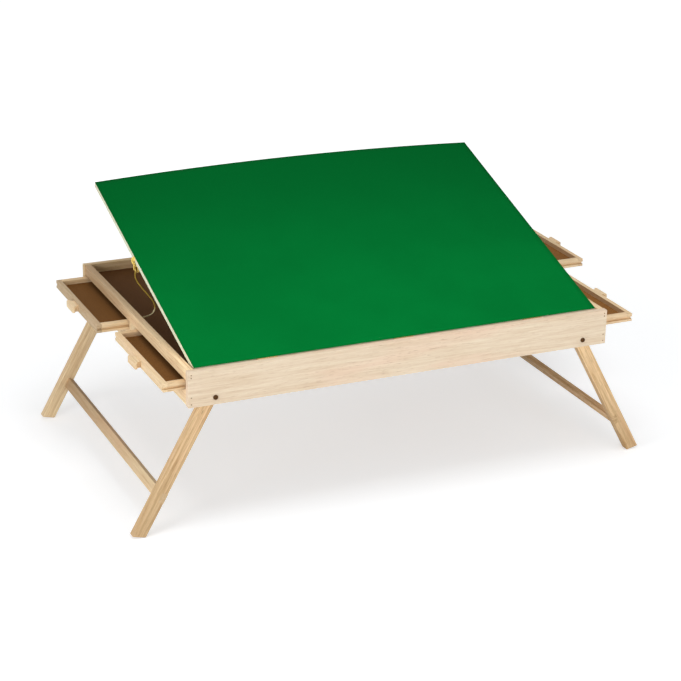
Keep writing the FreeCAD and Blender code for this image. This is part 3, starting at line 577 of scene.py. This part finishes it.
@dataclass(frozen=True)
class Metal:
    """Plated or blackened steel and brass, with fine scratches and tarnish."""

    name: str
    body: Colour
    tarnish: Colour
    roughness: float
    spread: float = 0.5
    relief: float = 0.00003
    blotches: ClassVar[Pattern] = Pattern((480.0, 480.0, 480.0), 3.0, 0.6, 0.8)
    scratches: ClassVar[Pattern] = Pattern((300.0, 5200.0, 900.0), 2.0, 0.6, 0.0, (0.0, 0.5, 0.7))

    def dress(self) -> bpy.types.Material:
        """Make the material.

        Returns:
            The material.
        """
        graph = Graph(self.name)
        own = graph.place()
        scratch = graph.noise(own, self.scratches)
        stain = graph.noise(own, self.blotches).smooth(0.42, 0.66) * self.spread
        colour = graph.mix(stain, self.body, self.tarnish)
        rough = self.roughness + stain * 0.2 + (scratch - 0.5) * 0.25
        normal = graph.bump(scratch, self.relief, 0.6)
        return graph.finish(colour, rough, Metallic=1.0 - stain * 0.4, Normal=normal)


BOARD_WOOD = OpenGrainWood("board_wood", srgb(240, 223, 198), srgb(219, 192, 160), srgb(240, 209, 184),
                           srgb(176, 136, 100))
RAIL_WOOD = OpenGrainWood("rail_wood", srgb(242, 218, 178), srgb(210, 176, 130), srgb(236, 200, 162),
                          srgb(152, 112, 74), streak_depth=2.4)
LEG_WOOD = OpenGrainWood("leg_wood", srgb(229, 199, 156), srgb(183, 145, 100), srgb(226, 186, 146),
                         srgb(124, 90, 50), streak_depth=2.76, ring_depth=0.3, pore_depth=0.65)
DRAWER_WOOD = OpenGrainWood("drawer_wood", srgb(244, 219, 180), srgb(216, 183, 137), srgb(240, 206, 166),
                            srgb(160, 120, 80), streak_depth=2.16)
BATTEN_WOOD = OpenGrainWood("batten_wood", srgb(240, 228, 204), srgb(218, 198, 166), srgb(236, 214, 186),
                            srgb(176, 146, 108))
EDGE_WOOD = OpenGrainWood("edge_wood", srgb(242, 243, 216), srgb(224, 225, 188), srgb(240, 238, 208),
                          srgb(198, 190, 148), streak_depth=1.2)
TRAY_BOARD = Hardboard("tray_board", srgb(116, 80, 49), srgb(66, 39, 18), srgb(146, 106, 69))
DRAWER_BOARD = Hardboard("drawer_board", srgb(128, 88, 48), srgb(74, 46, 20), srgb(160, 117, 70))
GREEN_FELT = Felt("green_felt", srgb(1, 122, 51), srgb(0, 109, 44), srgb(9, 134, 58))
# One yarn in two copies: the cord's darker copy is painted shade, where it hangs under the lid, and the
# knot's lighter copy is painted light.
SHADED_CORD = SpunCord("shaded_cord", srgb(192, 162, 56), srgb(144, 114, 34), srgb(255, 242, 196))
LIT_CORD = SpunCord("lit_cord", srgb(255, 232, 134), srgb(250, 202, 92), srgb(255, 246, 206))
BLACK_STEEL = Metal("black_steel", srgb(96, 66, 38), srgb(14, 11, 9), 0.3, 0.8)
NAIL_STEEL = Metal("nail_steel", srgb(176, 148, 120), srgb(130, 100, 76), 0.5)
ZINC = Metal("zinc", srgb(196, 198, 200), srgb(140, 140, 142), 0.32)
BRASS = Metal("brass", srgb(168, 140, 84), srgb(110, 88, 50), 0.42)


@dataclass(frozen=True)
class PaintedShade:
    """Painted shade: wood drawn darker from one place to another along the table's Y (axis 1) or Z (axis
    2).
    """

    axis: int
    start: float
    end: float
    share: float

    def level(self, graph: Graph) -> Value:
        """Say how dark the painted shade makes the wood at each place, 0 to the shade's share."""
        return graph.parts(graph.place())[self.axis].smooth(self.start, self.end) * self.share


# Painted shade: darker toward the back, where the tray and the raised lid shade the wood; darker toward the
# floor, under the table; and darker in a narrow band where a stretcher meets its leg.
TOWARD_BACK = PaintedShade(1, -0.28, 0.3, 0.58)
TOWARD_FLOOR = PaintedShade(2, 0.22, 0.03, 0.28)
LET_IN_END = PaintedShade(1, -0.270, -0.276, 0.34)
# How dark the painted shade on the inner face of a drawer's front is.
INSIDE_SHADE_SHARE = 0.5


def painted_stretcher_shade(graph: Graph) -> Value:
    """Paint shade on a stretcher: darker toward the back, and at its front end where it meets the leg that
    it is let into.
    """
    return TOWARD_BACK.level(graph) + LET_IN_END.level(graph)


def painted_inside_shade(graph: Graph) -> Value:
    """Paint shade on the face of a drawer's front that looks into the drawer, where it lies in shade.

    Args:
        graph: The material's graph.

    Returns:
        How dark the painted shade makes the wood.
    """
    facing = graph.parts(graph.node("ShaderNodeNewGeometry", {}, {}, "True Normal"))[0]
    outward = graph.parts(graph.place())[0]
    return (facing * outward).smooth(-0.1, -0.3) * INSIDE_SHADE_SHARE


@dataclass(frozen=True)
class Look:
    """How one piece of wood looks: its kind, how much lighter it is than that, and where painted shade
    darkens it.
    """

    wood: OpenGrainWood
    tone: float = 1.0
    # Painted shade: how much darker the wood is drawn at each place.
    painted_shade: Optional[Callable[[Graph], Value]] = None

    def dress(self, piece: str, grain: Grain, seed: int) -> bpy.types.Material:
        """Make the material for the piece.

        Args:
            piece: The piece's name.
            grain: Which way its grain runs.
            seed: Picks the part of the log that the piece is cut from.

        Returns:
            The material.
        """
        return self.wood.dress(piece, grain, seed, self.tone, self.painted_shade)


def clothe(node: str, material: bpy.types.Material) -> None:
    """Give a CAD node its material.

    Args:
        node: The node's name.
        material: The material for all its slots.
    """
    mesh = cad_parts[node].data
    mesh.materials.clear()
    mesh.materials.append(material)


def settle(name: str, shape: bmesh.types.BMesh, material: bpy.types.Material, smooth: bool = True
           ) -> bpy.types.Object:
    """Turn a finished bmesh into an object at the origin.

    Args:
        name: The object's name.
        shape: The bmesh, freed here.
        material: Its material.
        smooth: Whether its faces are shaded smooth.

    Returns:
        The object.
    """
    bmesh.ops.recalc_face_normals(shape, faces=shape.faces)
    mesh = bpy.data.meshes.new(name)
    shape.to_mesh(mesh)
    shape.free()
    mesh.materials.append(material)
    for polygon in mesh.polygons:
        polygon.use_smooth = smooth
    made = bpy.data.objects.new(name, mesh)
    bpy.context.scene.collection.objects.link(made)
    return made


# ---- camera, lights and floor --------------------------------------------------------------------
@dataclass(frozen=True)
class Lamp:
    """A square soft lamp: its place, what it points at, its side in metres and its power in watts."""

    name: str
    place: tuple[float, float, float]
    aim: tuple[float, float, float]
    side: float
    power: float

    def hang(self) -> None:
        """Add the lamp to the scene."""
        light = bpy.data.lights.new(self.name, "AREA")
        light.shape, light.size, light.energy = "SQUARE", self.side, self.power
        made = bpy.data.objects.new(self.name, light)
        made.location = self.place
        ahead = Vector(self.aim) - Vector(self.place)
        made.rotation_euler = ahead.to_track_quat("-Z", "Y").to_euler()
        bpy.context.scene.collection.objects.link(made)


@dataclass
class Studio:
    """The camera, the lamps and the pale floor.

    The floor glows a little, and more from its near to its far distance, so that it fades into the white
    background.
    """

    eye: Vector = Vector((-1.4895, -3.2813, 1.6194))
    azimuth: float = math.radians(-24.52)
    elevation: float = math.radians(21.52)
    roll: float = math.radians(1.08)
    lens: float = 103.29
    sensor: float = 36.0
    view_reach: float = 200.0
    floor_side: float = 40.0
    floor_pale: Colour = (0.91, 0.935, 0.962)
    floor_dim: Colour = (0.88, 0.905, 0.932)
    floor_roughness: float = 0.9
    floor_glow: float = 2.03
    floor_far_glow: float = 0.95
    floor_near: float = 0.6
    floor_far: float = 2.0
    floor_share: float = 0.25
    world_level: float = 0.38
    mottling: ClassVar[Pattern] = Pattern((3.0, 3.0, 3.0))
    lamps: tuple[Lamp, ...] = (
        Lamp("front", (0.5, -2.0, 0.6), (0.1, -0.2, 0.3), 1.0, 11.0),
        Lamp("left", (-1.9, -0.85, 0.65), (-0.4, -0.05, 0.25), 0.8, 13.0),
        Lamp("top", (-0.05, -0.45, 2.0), (-0.05, -0.15, 0.3), 1.0, 14.0),
        Lamp("rear", (-0.3, 2.2, 1.0), (0.0, 0.3, 0.25), 1.0, 5.0),
    )

    def place_camera(self) -> None:
        """Put the camera at the viewing angle."""
        camera = bpy.data.cameras.new("camera")
        camera.lens, camera.sensor_width = self.lens, self.sensor
        camera.clip_end = self.view_reach
        made = bpy.data.objects.new("camera", camera)
        bpy.context.scene.collection.objects.link(made)
        level, rise = math.cos(self.elevation), math.sin(self.elevation)
        back = Vector((math.sin(self.azimuth) * level, -math.cos(self.azimuth) * level, rise))
        right = Vector((0, 0, 1)).cross(back).normalized()
        up = back.cross(right)
        turned_right = right * math.cos(self.roll) + up * math.sin(self.roll)
        turned_up = up * math.cos(self.roll) - right * math.sin(self.roll)
        turn = Matrix((turned_right, turned_up, back)).transposed()
        made.matrix_world = Matrix.Translation(self.eye) @ turn.to_4x4()
        bpy.context.scene.camera = made

    def lay_floor(self) -> None:
        """Lay a plain white floor that keeps soft shadows."""
        shape = bmesh.new()
        bmesh.ops.create_grid(shape, x_segments=1, y_segments=1, size=self.floor_side / 2)
        graph = Graph("floor_white")
        mottle = graph.noise(graph.place(), self.mottling)
        colour = graph.mix(mottle * 0.2, self.floor_pale, self.floor_dim)
        graph.finish(colour, self.floor_roughness, Specular_IOR_Level=0.0)
        plain = Value(graph, graph.surface.outputs[0])
        away = graph.node("ShaderNodeVectorMath", {"operation": "LENGTH"}, {0: graph.place()}, "Value")
        glow = self.floor_glow + away.smooth(self.floor_near, self.floor_far) * self.floor_far_glow
        lit = graph.node("ShaderNodeEmission", {}, {"Color": (1.0, 1.0, 1.0, 1.0), "Strength": glow})
        share = graph.background_rays() * self.floor_share
        both = graph.node("ShaderNodeMixShader", {}, {0: share, 1: plain, 2: lit})
        graph.put(graph.output.inputs["Surface"], both)
        settle("floor", shape, graph.material, smooth=False)

    def light(self) -> None:
        """Hang the lamps and set the world's level."""
        for lamp in self.lamps:
            lamp.hang()
        graph = WorldGraph("world")
        level = self.world_level + graph.background_rays() * (1.0 - self.world_level)
        white = {"Color": (1.0, 1.0, 1.0, 1.0), "Strength": level}
        graph.put(graph.output.inputs["Surface"], graph.node("ShaderNodeBackground", {}, white))
        bpy.context.scene.world = graph.world
        bpy.context.scene.view_settings.view_transform = "Standard"

    def build(self) -> None:
        """Set up the whole studio."""
        self.place_camera()
        self.lay_floor()
        self.light()


# ---- stay cord -----------------------------------------------------------------------------------
def smooth_line(route: Sequence[Sequence[float]], steps: int) -> list[Vector]:
    """Read even points from the smooth spline through a route.

    Args:
        route: The spline's control points.
        steps: How many equal stretches it is read in.

    Returns:
        The points, first to last.
    """
    curve = bpy.data.curves.new("line", "CURVE")
    curve.dimensions = "3D"
    spline = curve.splines.new("NURBS")
    spline.points.add(len(route) - 1)
    for point, place in zip(spline.points, route):
        point.co = (*place, 1.0)
    spline.order_u = 3
    spline.use_endpoint_u = True
    spline.resolution_u = 40
    holder = bpy.data.objects.new("line", curve)
    mesh = bpy.data.meshes.new_from_object(holder)
    raw = [vertex.co.copy() for vertex in mesh.vertices]
    bpy.data.objects.remove(holder)
    bpy.data.curves.remove(curve)
    bpy.data.meshes.remove(mesh)
    run = [0.0]
    for before, after in zip(raw, raw[1:]):
        run.append(run[-1] + (after - before).length)
    points, k = [], 0
    for step in range(steps + 1):
        goal = run[-1] * step / steps
        while k < len(run) - 2 and run[k + 1] < goal:
            k += 1
        share = (goal - run[k]) / max(run[k + 1] - run[k], 1e-9)
        points.append(raw[k].lerp(raw[k + 1], share))
    return points


def add_tube(shape: bmesh.types.BMesh, line: Sequence[Vector], radius: float, taper: float = 1.0) -> None:
    """Add a round tube along a line.

    Args:
        shape: The bmesh that it joins.
        line: The tube's middle.
        radius: Its radius at the start.
        taper: The radius at its end as a share of that.
    """
    curve = bpy.data.curves.new("tube", "CURVE")
    curve.dimensions = "3D"
    curve.bevel_depth = radius
    curve.bevel_resolution = 2
    curve.use_fill_caps = True
    spline = curve.splines.new("POLY")
    spline.points.add(len(line) - 1)
    for i, point in enumerate(line):
        spline.points[i].co = (*point, 1.0)
        spline.points[i].radius = 1 + (taper - 1) * i / (len(line) - 1)
    holder = bpy.data.objects.new("tube", curve)
    mesh = bpy.data.meshes.new_from_object(holder)
    shape.from_mesh(mesh)
    bpy.data.objects.remove(holder)
    bpy.data.curves.remove(curve)
    bpy.data.meshes.remove(mesh)


@dataclass
class StayCord:
    """The cord from the lid's left end to the tray's left rail, and the knot that holds it to the lid.

    The knot's, tail's and fringe's points are across, up and out from the knot's middle. The turns' and the
    tuft's are along the lid's end and up over its edge, from the place where the cord is tied to it. A
    strand's place and radius are shares of its rope's diameter.
    """

    diameter: float = 0.0025
    length: float = 0.143
    twist_pitch: float = 0.0066
    strands: int = 3
    strand_place: float = 0.24
    strand_radius: float = 0.29
    steps: int = 420
    route: tuple = (
        (-0.4035, 0.0288, 0.4010),
        (-0.4060, 0.0302, 0.3862),
        (-0.4066, 0.0290, 0.3715),
        (-0.3968, 0.0220, 0.3548),
        (-0.3848, 0.0162, 0.3395),
        (-0.3738, 0.0122, 0.3230),
        (-0.3764, 0.0096, 0.3060),
        (-0.3950, 0.0090, 0.2996),
        (-0.4130, 0.0090, 0.2996),
    )
    knot_middle: Vector = Vector((-0.4045, 0.0272, 0.4010))
    knot_across: Vector = Vector((0.85, -0.527, 0.0))
    knot_run: tuple = (
        (0.0034, 0.0072, 0.0004),
        (0.0029, 0.0046, 0.0012),
        (0.0014, 0.0029, 0.0014),
        (-0.0013, 0.0007, 0.0),
        (-0.0018, -0.0027, -0.0014),
        (0.0, -0.0043, 0.0),
        (0.0018, -0.0027, 0.0014),
        (0.0013, 0.0007, 0.0),
        (-0.0014, 0.0029, -0.0014),
        (-0.0038, 0.0022, 0.0),
        (-0.0033, -0.0002, 0.0014),
        (0.0, -0.0015, 0.0),
        (0.0033, -0.0002, -0.0014),
        (0.0036, -0.0034, -0.0006),
        (0.0027, -0.0070, 0.0004),
        (0.0031, -0.0098, 0.0006),
    )
    tail_run: tuple = (
        (-0.0030, 0.0060, 0.0010),
        (-0.0036, 0.0026, 0.0024),
        (-0.0022, -0.0012, 0.0028),
        (-0.0034, -0.0048, 0.0020),
        (-0.0026, -0.0086, 0.0012),
        (-0.0014, -0.0116, 0.0010),
    )
    turn_runs: tuple = (
        ((-0.0042, -0.0008), (-0.0044, 0.0040), (-0.0030, 0.0078), (0.0, 0.0086), (0.0030, 0.0078),
         (0.0044, 0.0040), (0.0042, -0.0008)),
        ((-0.0014, -0.0008), (-0.0020, 0.0030), (-0.0010, 0.0058), (0.0010, 0.0058), (0.0020, 0.0030),
         (0.0014, -0.0008)),
    )
    tuft_roots: tuple = (
        (-0.0036, 0.0066), (-0.0016, 0.0076), (0.0004, 0.0064), (0.0024, 0.0074), (-0.0026, 0.0046),
        (-0.0004, 0.0042), (0.0018, 0.0048), (0.0034, 0.0054), (-0.0012, 0.0022), (0.0014, 0.0018),
        (-0.0032, 0.0028), (0.0030, 0.0024),
    )
    fringe_roots: tuple = (
        (-0.0044, 0.0030), (-0.0036, 0.0002), (-0.0028, 0.0044), (-0.0016, 0.0020), (-0.0046, -0.0012),
        (-0.0022, -0.0010), (-0.0030, 0.0024),
    )
    blend_start: tuple = (-0.4145, 0.009, 0.2925)
    blend_end: tuple = (-0.3887, 0.009, 0.4101)
    tuft_middle: tuple = (-0.408, 0.0286, 0.4076)
    # Below this height the cord is drawn pale: painted light.
    painted_light_below: float = 0.319
    tied_back: float = 0.335
    tied_down: float = 0.010
    knot_width: float = 0.92
    turn_diameter: float = 0.0019
    yarn_radius: float = 0.0009
    fray_radius: float = 0.00042
    fine_end: float = 0.45
    tuft_end: float = 0.5
    frays: int = 9
    fray_angle: float = 2.4
    flattened: float = 0.34

    def twist(self, shape: bmesh.types.BMesh, line: Sequence[Vector], diameter: float) -> None:
        """Wind the strands round a line.

        Args:
            shape: The bmesh that they join.
            line: The rope's middle.
            diameter: The rope's diameter.
        """
        last = len(line) - 1
        winds = sum((after - before).length for before, after in zip(line, line[1:])) / self.twist_pitch
        for index in range(self.strands):
            side, middle = Vector((0.1, 1, 0.2)), []
            for i, point in enumerate(line):
                ahead = (line[min(i + 1, last)] - line[max(i - 1, 0)]).normalized()
                side = (side - ahead * side.dot(ahead)).normalized()
                angle = 2 * math.pi * (index / self.strands + winds * i / last)
                place = side * math.cos(angle) + ahead.cross(side) * math.sin(angle)
                middle.append(point + place * (diameter * self.strand_place))
            add_tube(shape, middle, diameter * self.strand_radius)

    def build_cord(self, on_it: Sequence[bpy.types.Object]) -> None:
        """Twist the cord between the tray and the lid.

        Args:
            on_it: The pieces that are tied in it; not used.
        """
        line = smooth_line(self.route, self.steps)
        shape = bmesh.new()
        self.twist(shape, line, self.diameter)
        made = settle("stay_cord_rope", shape, SHADED_CORD.dress(painted_light_below=self.painted_light_below))
        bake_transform(made)
        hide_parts("stay_cord")
        LOG.info("stay cord")

    def place(self, run: Sequence[Sequence[float]]) -> list[Vector]:
        """Put a run of the knot's points at the lid's end.

        Args:
            run: The points across, up and out from the knot's middle.

        Returns:
            The same points in the model.
        """
        out = Vector((self.knot_across.y, -self.knot_across.x, 0)).normalized()
        return [self.knot_middle + self.knot_across * across + Vector((0, 0, up)) + out * depth
                for across, up, depth in run]

    def fray(self, shape: bmesh.types.BMesh, line: Sequence[Vector]) -> None:
        """Fan loose yarns out of a tail's end.

        Args:
            shape: The bmesh that they join.
            line: The tail's middle.
        """
        ahead = (line[-1] - line[-8]).normalized()
        side = ahead.orthogonal().normalized()
        for index in range(self.frays):
            angle = index * self.fray_angle
            around = side * math.cos(angle) + ahead.cross(side) * math.sin(angle)
            spread = around * (0.35 + 0.65 * (index % 3) / 2)
            reach = 0.0034 + 0.0011 * (index % 4)
            root = line[-3] + spread * 0.0006
            run = (root, root + ahead * reach * 0.5 + spread * 0.0007,
                   root + ahead * reach + spread * 0.0016)
            add_tube(shape, smooth_line(run, 8), self.fray_radius, self.fine_end)

    def at_tie(self, along: float, up: float) -> Vector:
        """Find a place on the lid's left end, from where the cord is tied to it."""
        return Lid.set_down(self.tied_back + along, self.tied_down - up)

    def add_fringe(self, shape: bmesh.types.BMesh) -> None:
        """Hang the fringe of loose yarns beside the knot.

        Args:
            shape: The bmesh that they join.
        """
        for index, (across, depth) in enumerate(self.fringe_roots):
            sway = 0.0012 * math.sin(index * 1.9)
            reach = 0.0100 + 0.0012 * (index % 4)
            run = ((across * 0.5, 0.0040, depth * 0.6), (across, 0.0, depth),
                   (across + sway, -reach * 0.5, depth + sway),
                   (across - sway * 0.4, -reach, depth + sway * 1.5))
            add_tube(shape, smooth_line(self.place(run), 20), self.yarn_radius, self.fine_end)

    def build_knot(self) -> bpy.types.Object:
        """Tie the knot under the lid's end, with its two frayed tails and its fringe.

        Returns:
            The knot.
        """
        shape = bmesh.new()
        for run in (self.knot_run, self.tail_run):
            line = smooth_line(self.place(run), len(run) * 12)
            self.twist(shape, line, self.diameter * self.knot_width)
            self.fray(shape, line)
        self.add_fringe(shape)
        knot = settle("stay_cord_knot", shape, LIT_CORD.dress())
        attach(knot, "lid")
        Lid.up()
        self.at_tie(0, 0)
        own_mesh(knot)
        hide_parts("cord_knot")
        LOG.info("stay cord's knot")
        return knot

    def build_turns(self) -> bpy.types.Object:
        """Lay the turns that hold the knot on the lid's end.

        Returns:
            The turns.
        """
        shape = bmesh.new()
        for run in self.turn_runs:
            flat = [self.at_tie(along, up) - Vector((0.001, 0, 0)) for along, up in run]
            self.twist(shape, smooth_line(flat, 60), self.turn_diameter)
        turns = settle("stay_cord_turns", shape, LIT_CORD.dress())
        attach(turns, "lid")
        return turns

    def build_tuft(self) -> bpy.types.Object:
        """Tease out a tuft of loose yarns over the turns.

        Returns:
            The tuft.
        """
        shape = bmesh.new()
        for index, (along, up) in enumerate(self.tuft_roots):
            root = self.at_tie(along, up)
            sway = Vector((0, 0.0016 * math.sin(index * 2.1), 0))
            out = Vector((-0.0024 - 0.0010 * (index % 3), 0, 0))
            drop = Vector((0, 0, -0.0032 - 0.0007 * (index % 4) - 0.35 * up))
            run = (root - Vector((0.0006, 0, 0)), root + out + sway * 0.5,
                   root + out * 1.15 + sway + drop * 0.6, root + out * 0.8 + sway * 2 + drop * 1.2,
                   root + out * 0.55 + sway * 3 + drop * 1.7)
            add_tube(shape, smooth_line(run, 20), self.yarn_radius, self.tuft_end)
        tuft = settle("stay_cord_tuft", shape, LIT_CORD.dress())
        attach(tuft, "lid")
        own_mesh(tuft)
        return tuft

    def build(self) -> None:
        """Build the cord and what ties it to the lid."""
        self.build_cord([self.build_knot(), self.build_turns(), self.build_tuft()])


# ---- tray ----------------------------------------------------------------------------------------
@dataclass
class Tray:
    """The fixed tray: boards, rails, the panel, runners, blocks and its ironmongery."""

    def build(self) -> None:
        """Dress every node of the tray."""
        clothe("front_board", BOARD_WOOD.dress("front_board", Grain.LENGTH, 3))
        clothe("back_board", RAIL_WOOD.dress("back_board", Grain.LENGTH, 8))
        plain_rail = Look(RAIL_WOOD, 1.1)
        # The left rail is drawn darker toward the back: painted shade, where the raised lid shades its top.
        rails = {"left_top_rail": Look(RAIL_WOOD, 1.22, TOWARD_BACK.level), "right_top_rail": plain_rail,
                 "bottom_rails": plain_rail, "cross_bars": plain_rail}
        for seed, (node, look) in enumerate(rails.items(), 11):
            clothe(node, look.dress(node, Grain.DEPTH, seed))
        blocks = ("centre_beam", "drawer_runners", "leg_stop_blocks", "lid_rest_blocks")
        for seed, node in enumerate(blocks, 21):
            clothe(node, RAIL_WOOD.dress(node, Grain.LENGTH, seed))
        clothe("prop_rest_strips", BATTEN_WOOD.dress("prop_rest_strips", Grain.DEPTH, 31))
        clothe("tray_panel", TRAY_BOARD.dress("tray_panel", 1))
        clothe("leg_bolts", BLACK_STEEL.dress())
        clothe("leg_nuts", ZINC.dress())
        clothe("frame_nails", NAIL_STEEL.dress())
        brass = BRASS.dress()
        for node in ("lid_hinge_fixed_leaves", "lid_hinge_pins", "lid_hinge_screws"):
            clothe(node, brass)
        LOG.info("tray")


@dataclass
class LegFrame:
    """Two legs and their stretcher at one end."""

    end: str
    grain: Grain
    seed: int
    front_leg: Look
    back_leg: Look
    stretcher: Look

    def build(self) -> None:
        """Dress the legs and the stretcher."""
        pieces = (("front_leg", self.front_leg, self.grain), ("back_leg", self.back_leg, self.grain),
                  ("stretcher", self.stretcher, Grain.DEPTH))
        for step, (piece, look, grain) in enumerate(pieces):
            node = "%s_%s" % (self.end, piece)
            clothe(node, look.dress(node, grain, self.seed + step))
        LOG.info("%s legs", self.end)


# ---- lid -----------------------------------------------------------------------------------------
@dataclass
class Lid:
    """The felt-covered lid with its battens, and the prop under it."""

    length: ClassVar[float] = 0.816
    front_y: ClassVar[float] = -0.2925
    top_z: ClassVar[float] = 0.313
    span: float = 0.5855
    felt_thickness: float = 0.0008
    bow: float = 0.012
    tilt: ClassVar[float] = math.radians(18)
    axis: ClassVar[Vector] = Vector((0, -0.29475, 0.3115))

    @classmethod
    def up(cls) -> tuple:
        """Say which way is up from the tilted lid's face."""
        return 0.0, -math.sin(cls.tilt), math.cos(cls.tilt)

    @classmethod
    def set_down(cls, back: float, down: float) -> Vector:
        """Find a place at the tilted lid's left end.

        Args:
            back: How far behind the lid's front edge.
            down: How far below its face.

        Returns:
            The place.
        """
        flat = Vector((-cls.length / 2, cls.front_y + back, cls.top_z - down))
        return Matrix.Rotation(cls.tilt, 3, "X") @ (flat - cls.axis) + cls.axis

    def felt(self) -> None:
        """Lay the felt over the bowed lid."""
        shape = bmesh.new()
        bmesh.ops.create_grid(shape, x_segments=68, y_segments=48, size=0.5)
        bmesh.ops.scale(shape, vec=(self.length, self.span, 1), verts=shape.verts)
        bmesh.ops.translate(shape, vec=(0, self.front_y + self.span / 2, self.top_z), verts=shape.verts)
        skin = bmesh.ops.extrude_face_region(shape, geom=shape.faces[:])
        under = [item for item in skin["geom"] if isinstance(item, bmesh.types.BMVert)]
        bmesh.ops.translate(shape, vec=(0, 0, -self.felt_thickness), verts=under)
        for vertex in shape.verts:
            rise = self.bow * (vertex.co.y - self.front_y) / self.span
            vertex.co.z += rise * (1 - (2 * vertex.co.x / self.length) ** 2)
        turn = Matrix.Rotation(self.tilt, 3, "X")
        bmesh.ops.rotate(shape, cent=self.axis, matrix=turn, verts=shape.verts)
        made = settle("felt_cover", shape, GREEN_FELT.dress())
        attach(made, "lid")
        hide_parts("lid_felt")
        LOG.info("felt")

    def build(self) -> None:
        """Build the felt and dress the lid's and the prop's nodes."""
        self.felt()
        woods = {"lid_panel": (EDGE_WOOD, Grain.LENGTH), "lid_long_battens": (BATTEN_WOOD, Grain.LENGTH),
                 "lid_side_battens": (EDGE_WOOD, Grain.DEPTH), "prop_batten": (BATTEN_WOOD, Grain.LENGTH),
                 "prop_top_bar": (BATTEN_WOOD, Grain.LENGTH), "prop_foot_bar": (BATTEN_WOOD, Grain.LENGTH),
                 "prop_arms": (BATTEN_WOOD, Grain.DEPTH)}
        for seed, (node, (wood, grain)) in enumerate(woods.items(), 41):
            clothe(node, wood.dress(node, grain, seed))
        brass = BRASS.dress()
        for node in ("lid_hinge_moving_leaves", "lid_screws", "prop_hinge_lid_leaves", "prop_hinge_pins",
                     "prop_hinge_prop_leaves", "prop_screws"):
            clothe(node, brass)
        LOG.info("lid and prop")


# ---- drawers -------------------------------------------------------------------------------------
@dataclass
class Drawer:
    """One drawer."""

    name: str
    seed: int
    front_tone: float = 1.0
    board_light_tone: float = 1.0

    def build(self) -> None:
        """Dress the drawer's nodes."""
        plain = Look(DRAWER_WOOD)
        pieces = {"front": (Look(DRAWER_WOOD, self.front_tone, painted_inside_shade), Grain.DEPTH),
                  "back": (plain, Grain.DEPTH), "sides": (plain, Grain.LENGTH),
                  "handle": (plain, Grain.DEPTH)}
        for step, (piece, (look, grain)) in enumerate(pieces.items()):
            node = "%s_%s" % (self.name, piece)
            clothe(node, look.dress(node, grain, self.seed + step))
        clothe(self.name + "_bottom", DRAWER_BOARD.dress(self.name, self.seed, self.board_light_tone))
        LOG.info(self.name)


def main() -> None:
    """Build everything in order."""
    logging.basicConfig(level=logging.INFO)
    Studio().build()
    StayCord().build()
    Tray().build()
    # The front legs get painted shade toward the floor and the stretchers painted shade toward the back;
    # the left back leg is drawn in the paler rail wood as painted light.
    LegFrame("left", Grain.LEFT_LEG, 51, Look(LEG_WOOD, 1.12, TOWARD_FLOOR.level), Look(RAIL_WOOD, 1.05),
             Look(RAIL_WOOD, 0.97, painted_stretcher_shade)).build()
    LegFrame("right", Grain.RIGHT_LEG, 55, Look(LEG_WOOD, 1.22, TOWARD_FLOOR.level), Look(LEG_WOOD),
             Look(LEG_WOOD, 1.2, painted_stretcher_shade)).build()
    Lid().build()
    # The right drawers' boards are toned lighter as painted light, where more light falls into them; the
    # left back drawer's front is toned darker as painted shade.
    Drawer("left_front_drawer", 60).build()
    Drawer("left_back_drawer", 65, front_tone=0.68).build()
    Drawer("right_front_drawer", 70, board_light_tone=1.4).build()
    Drawer("right_back_drawer", 75, front_tone=0.95, board_light_tone=1.3).build()


if __name__ == "__main__":
    main()
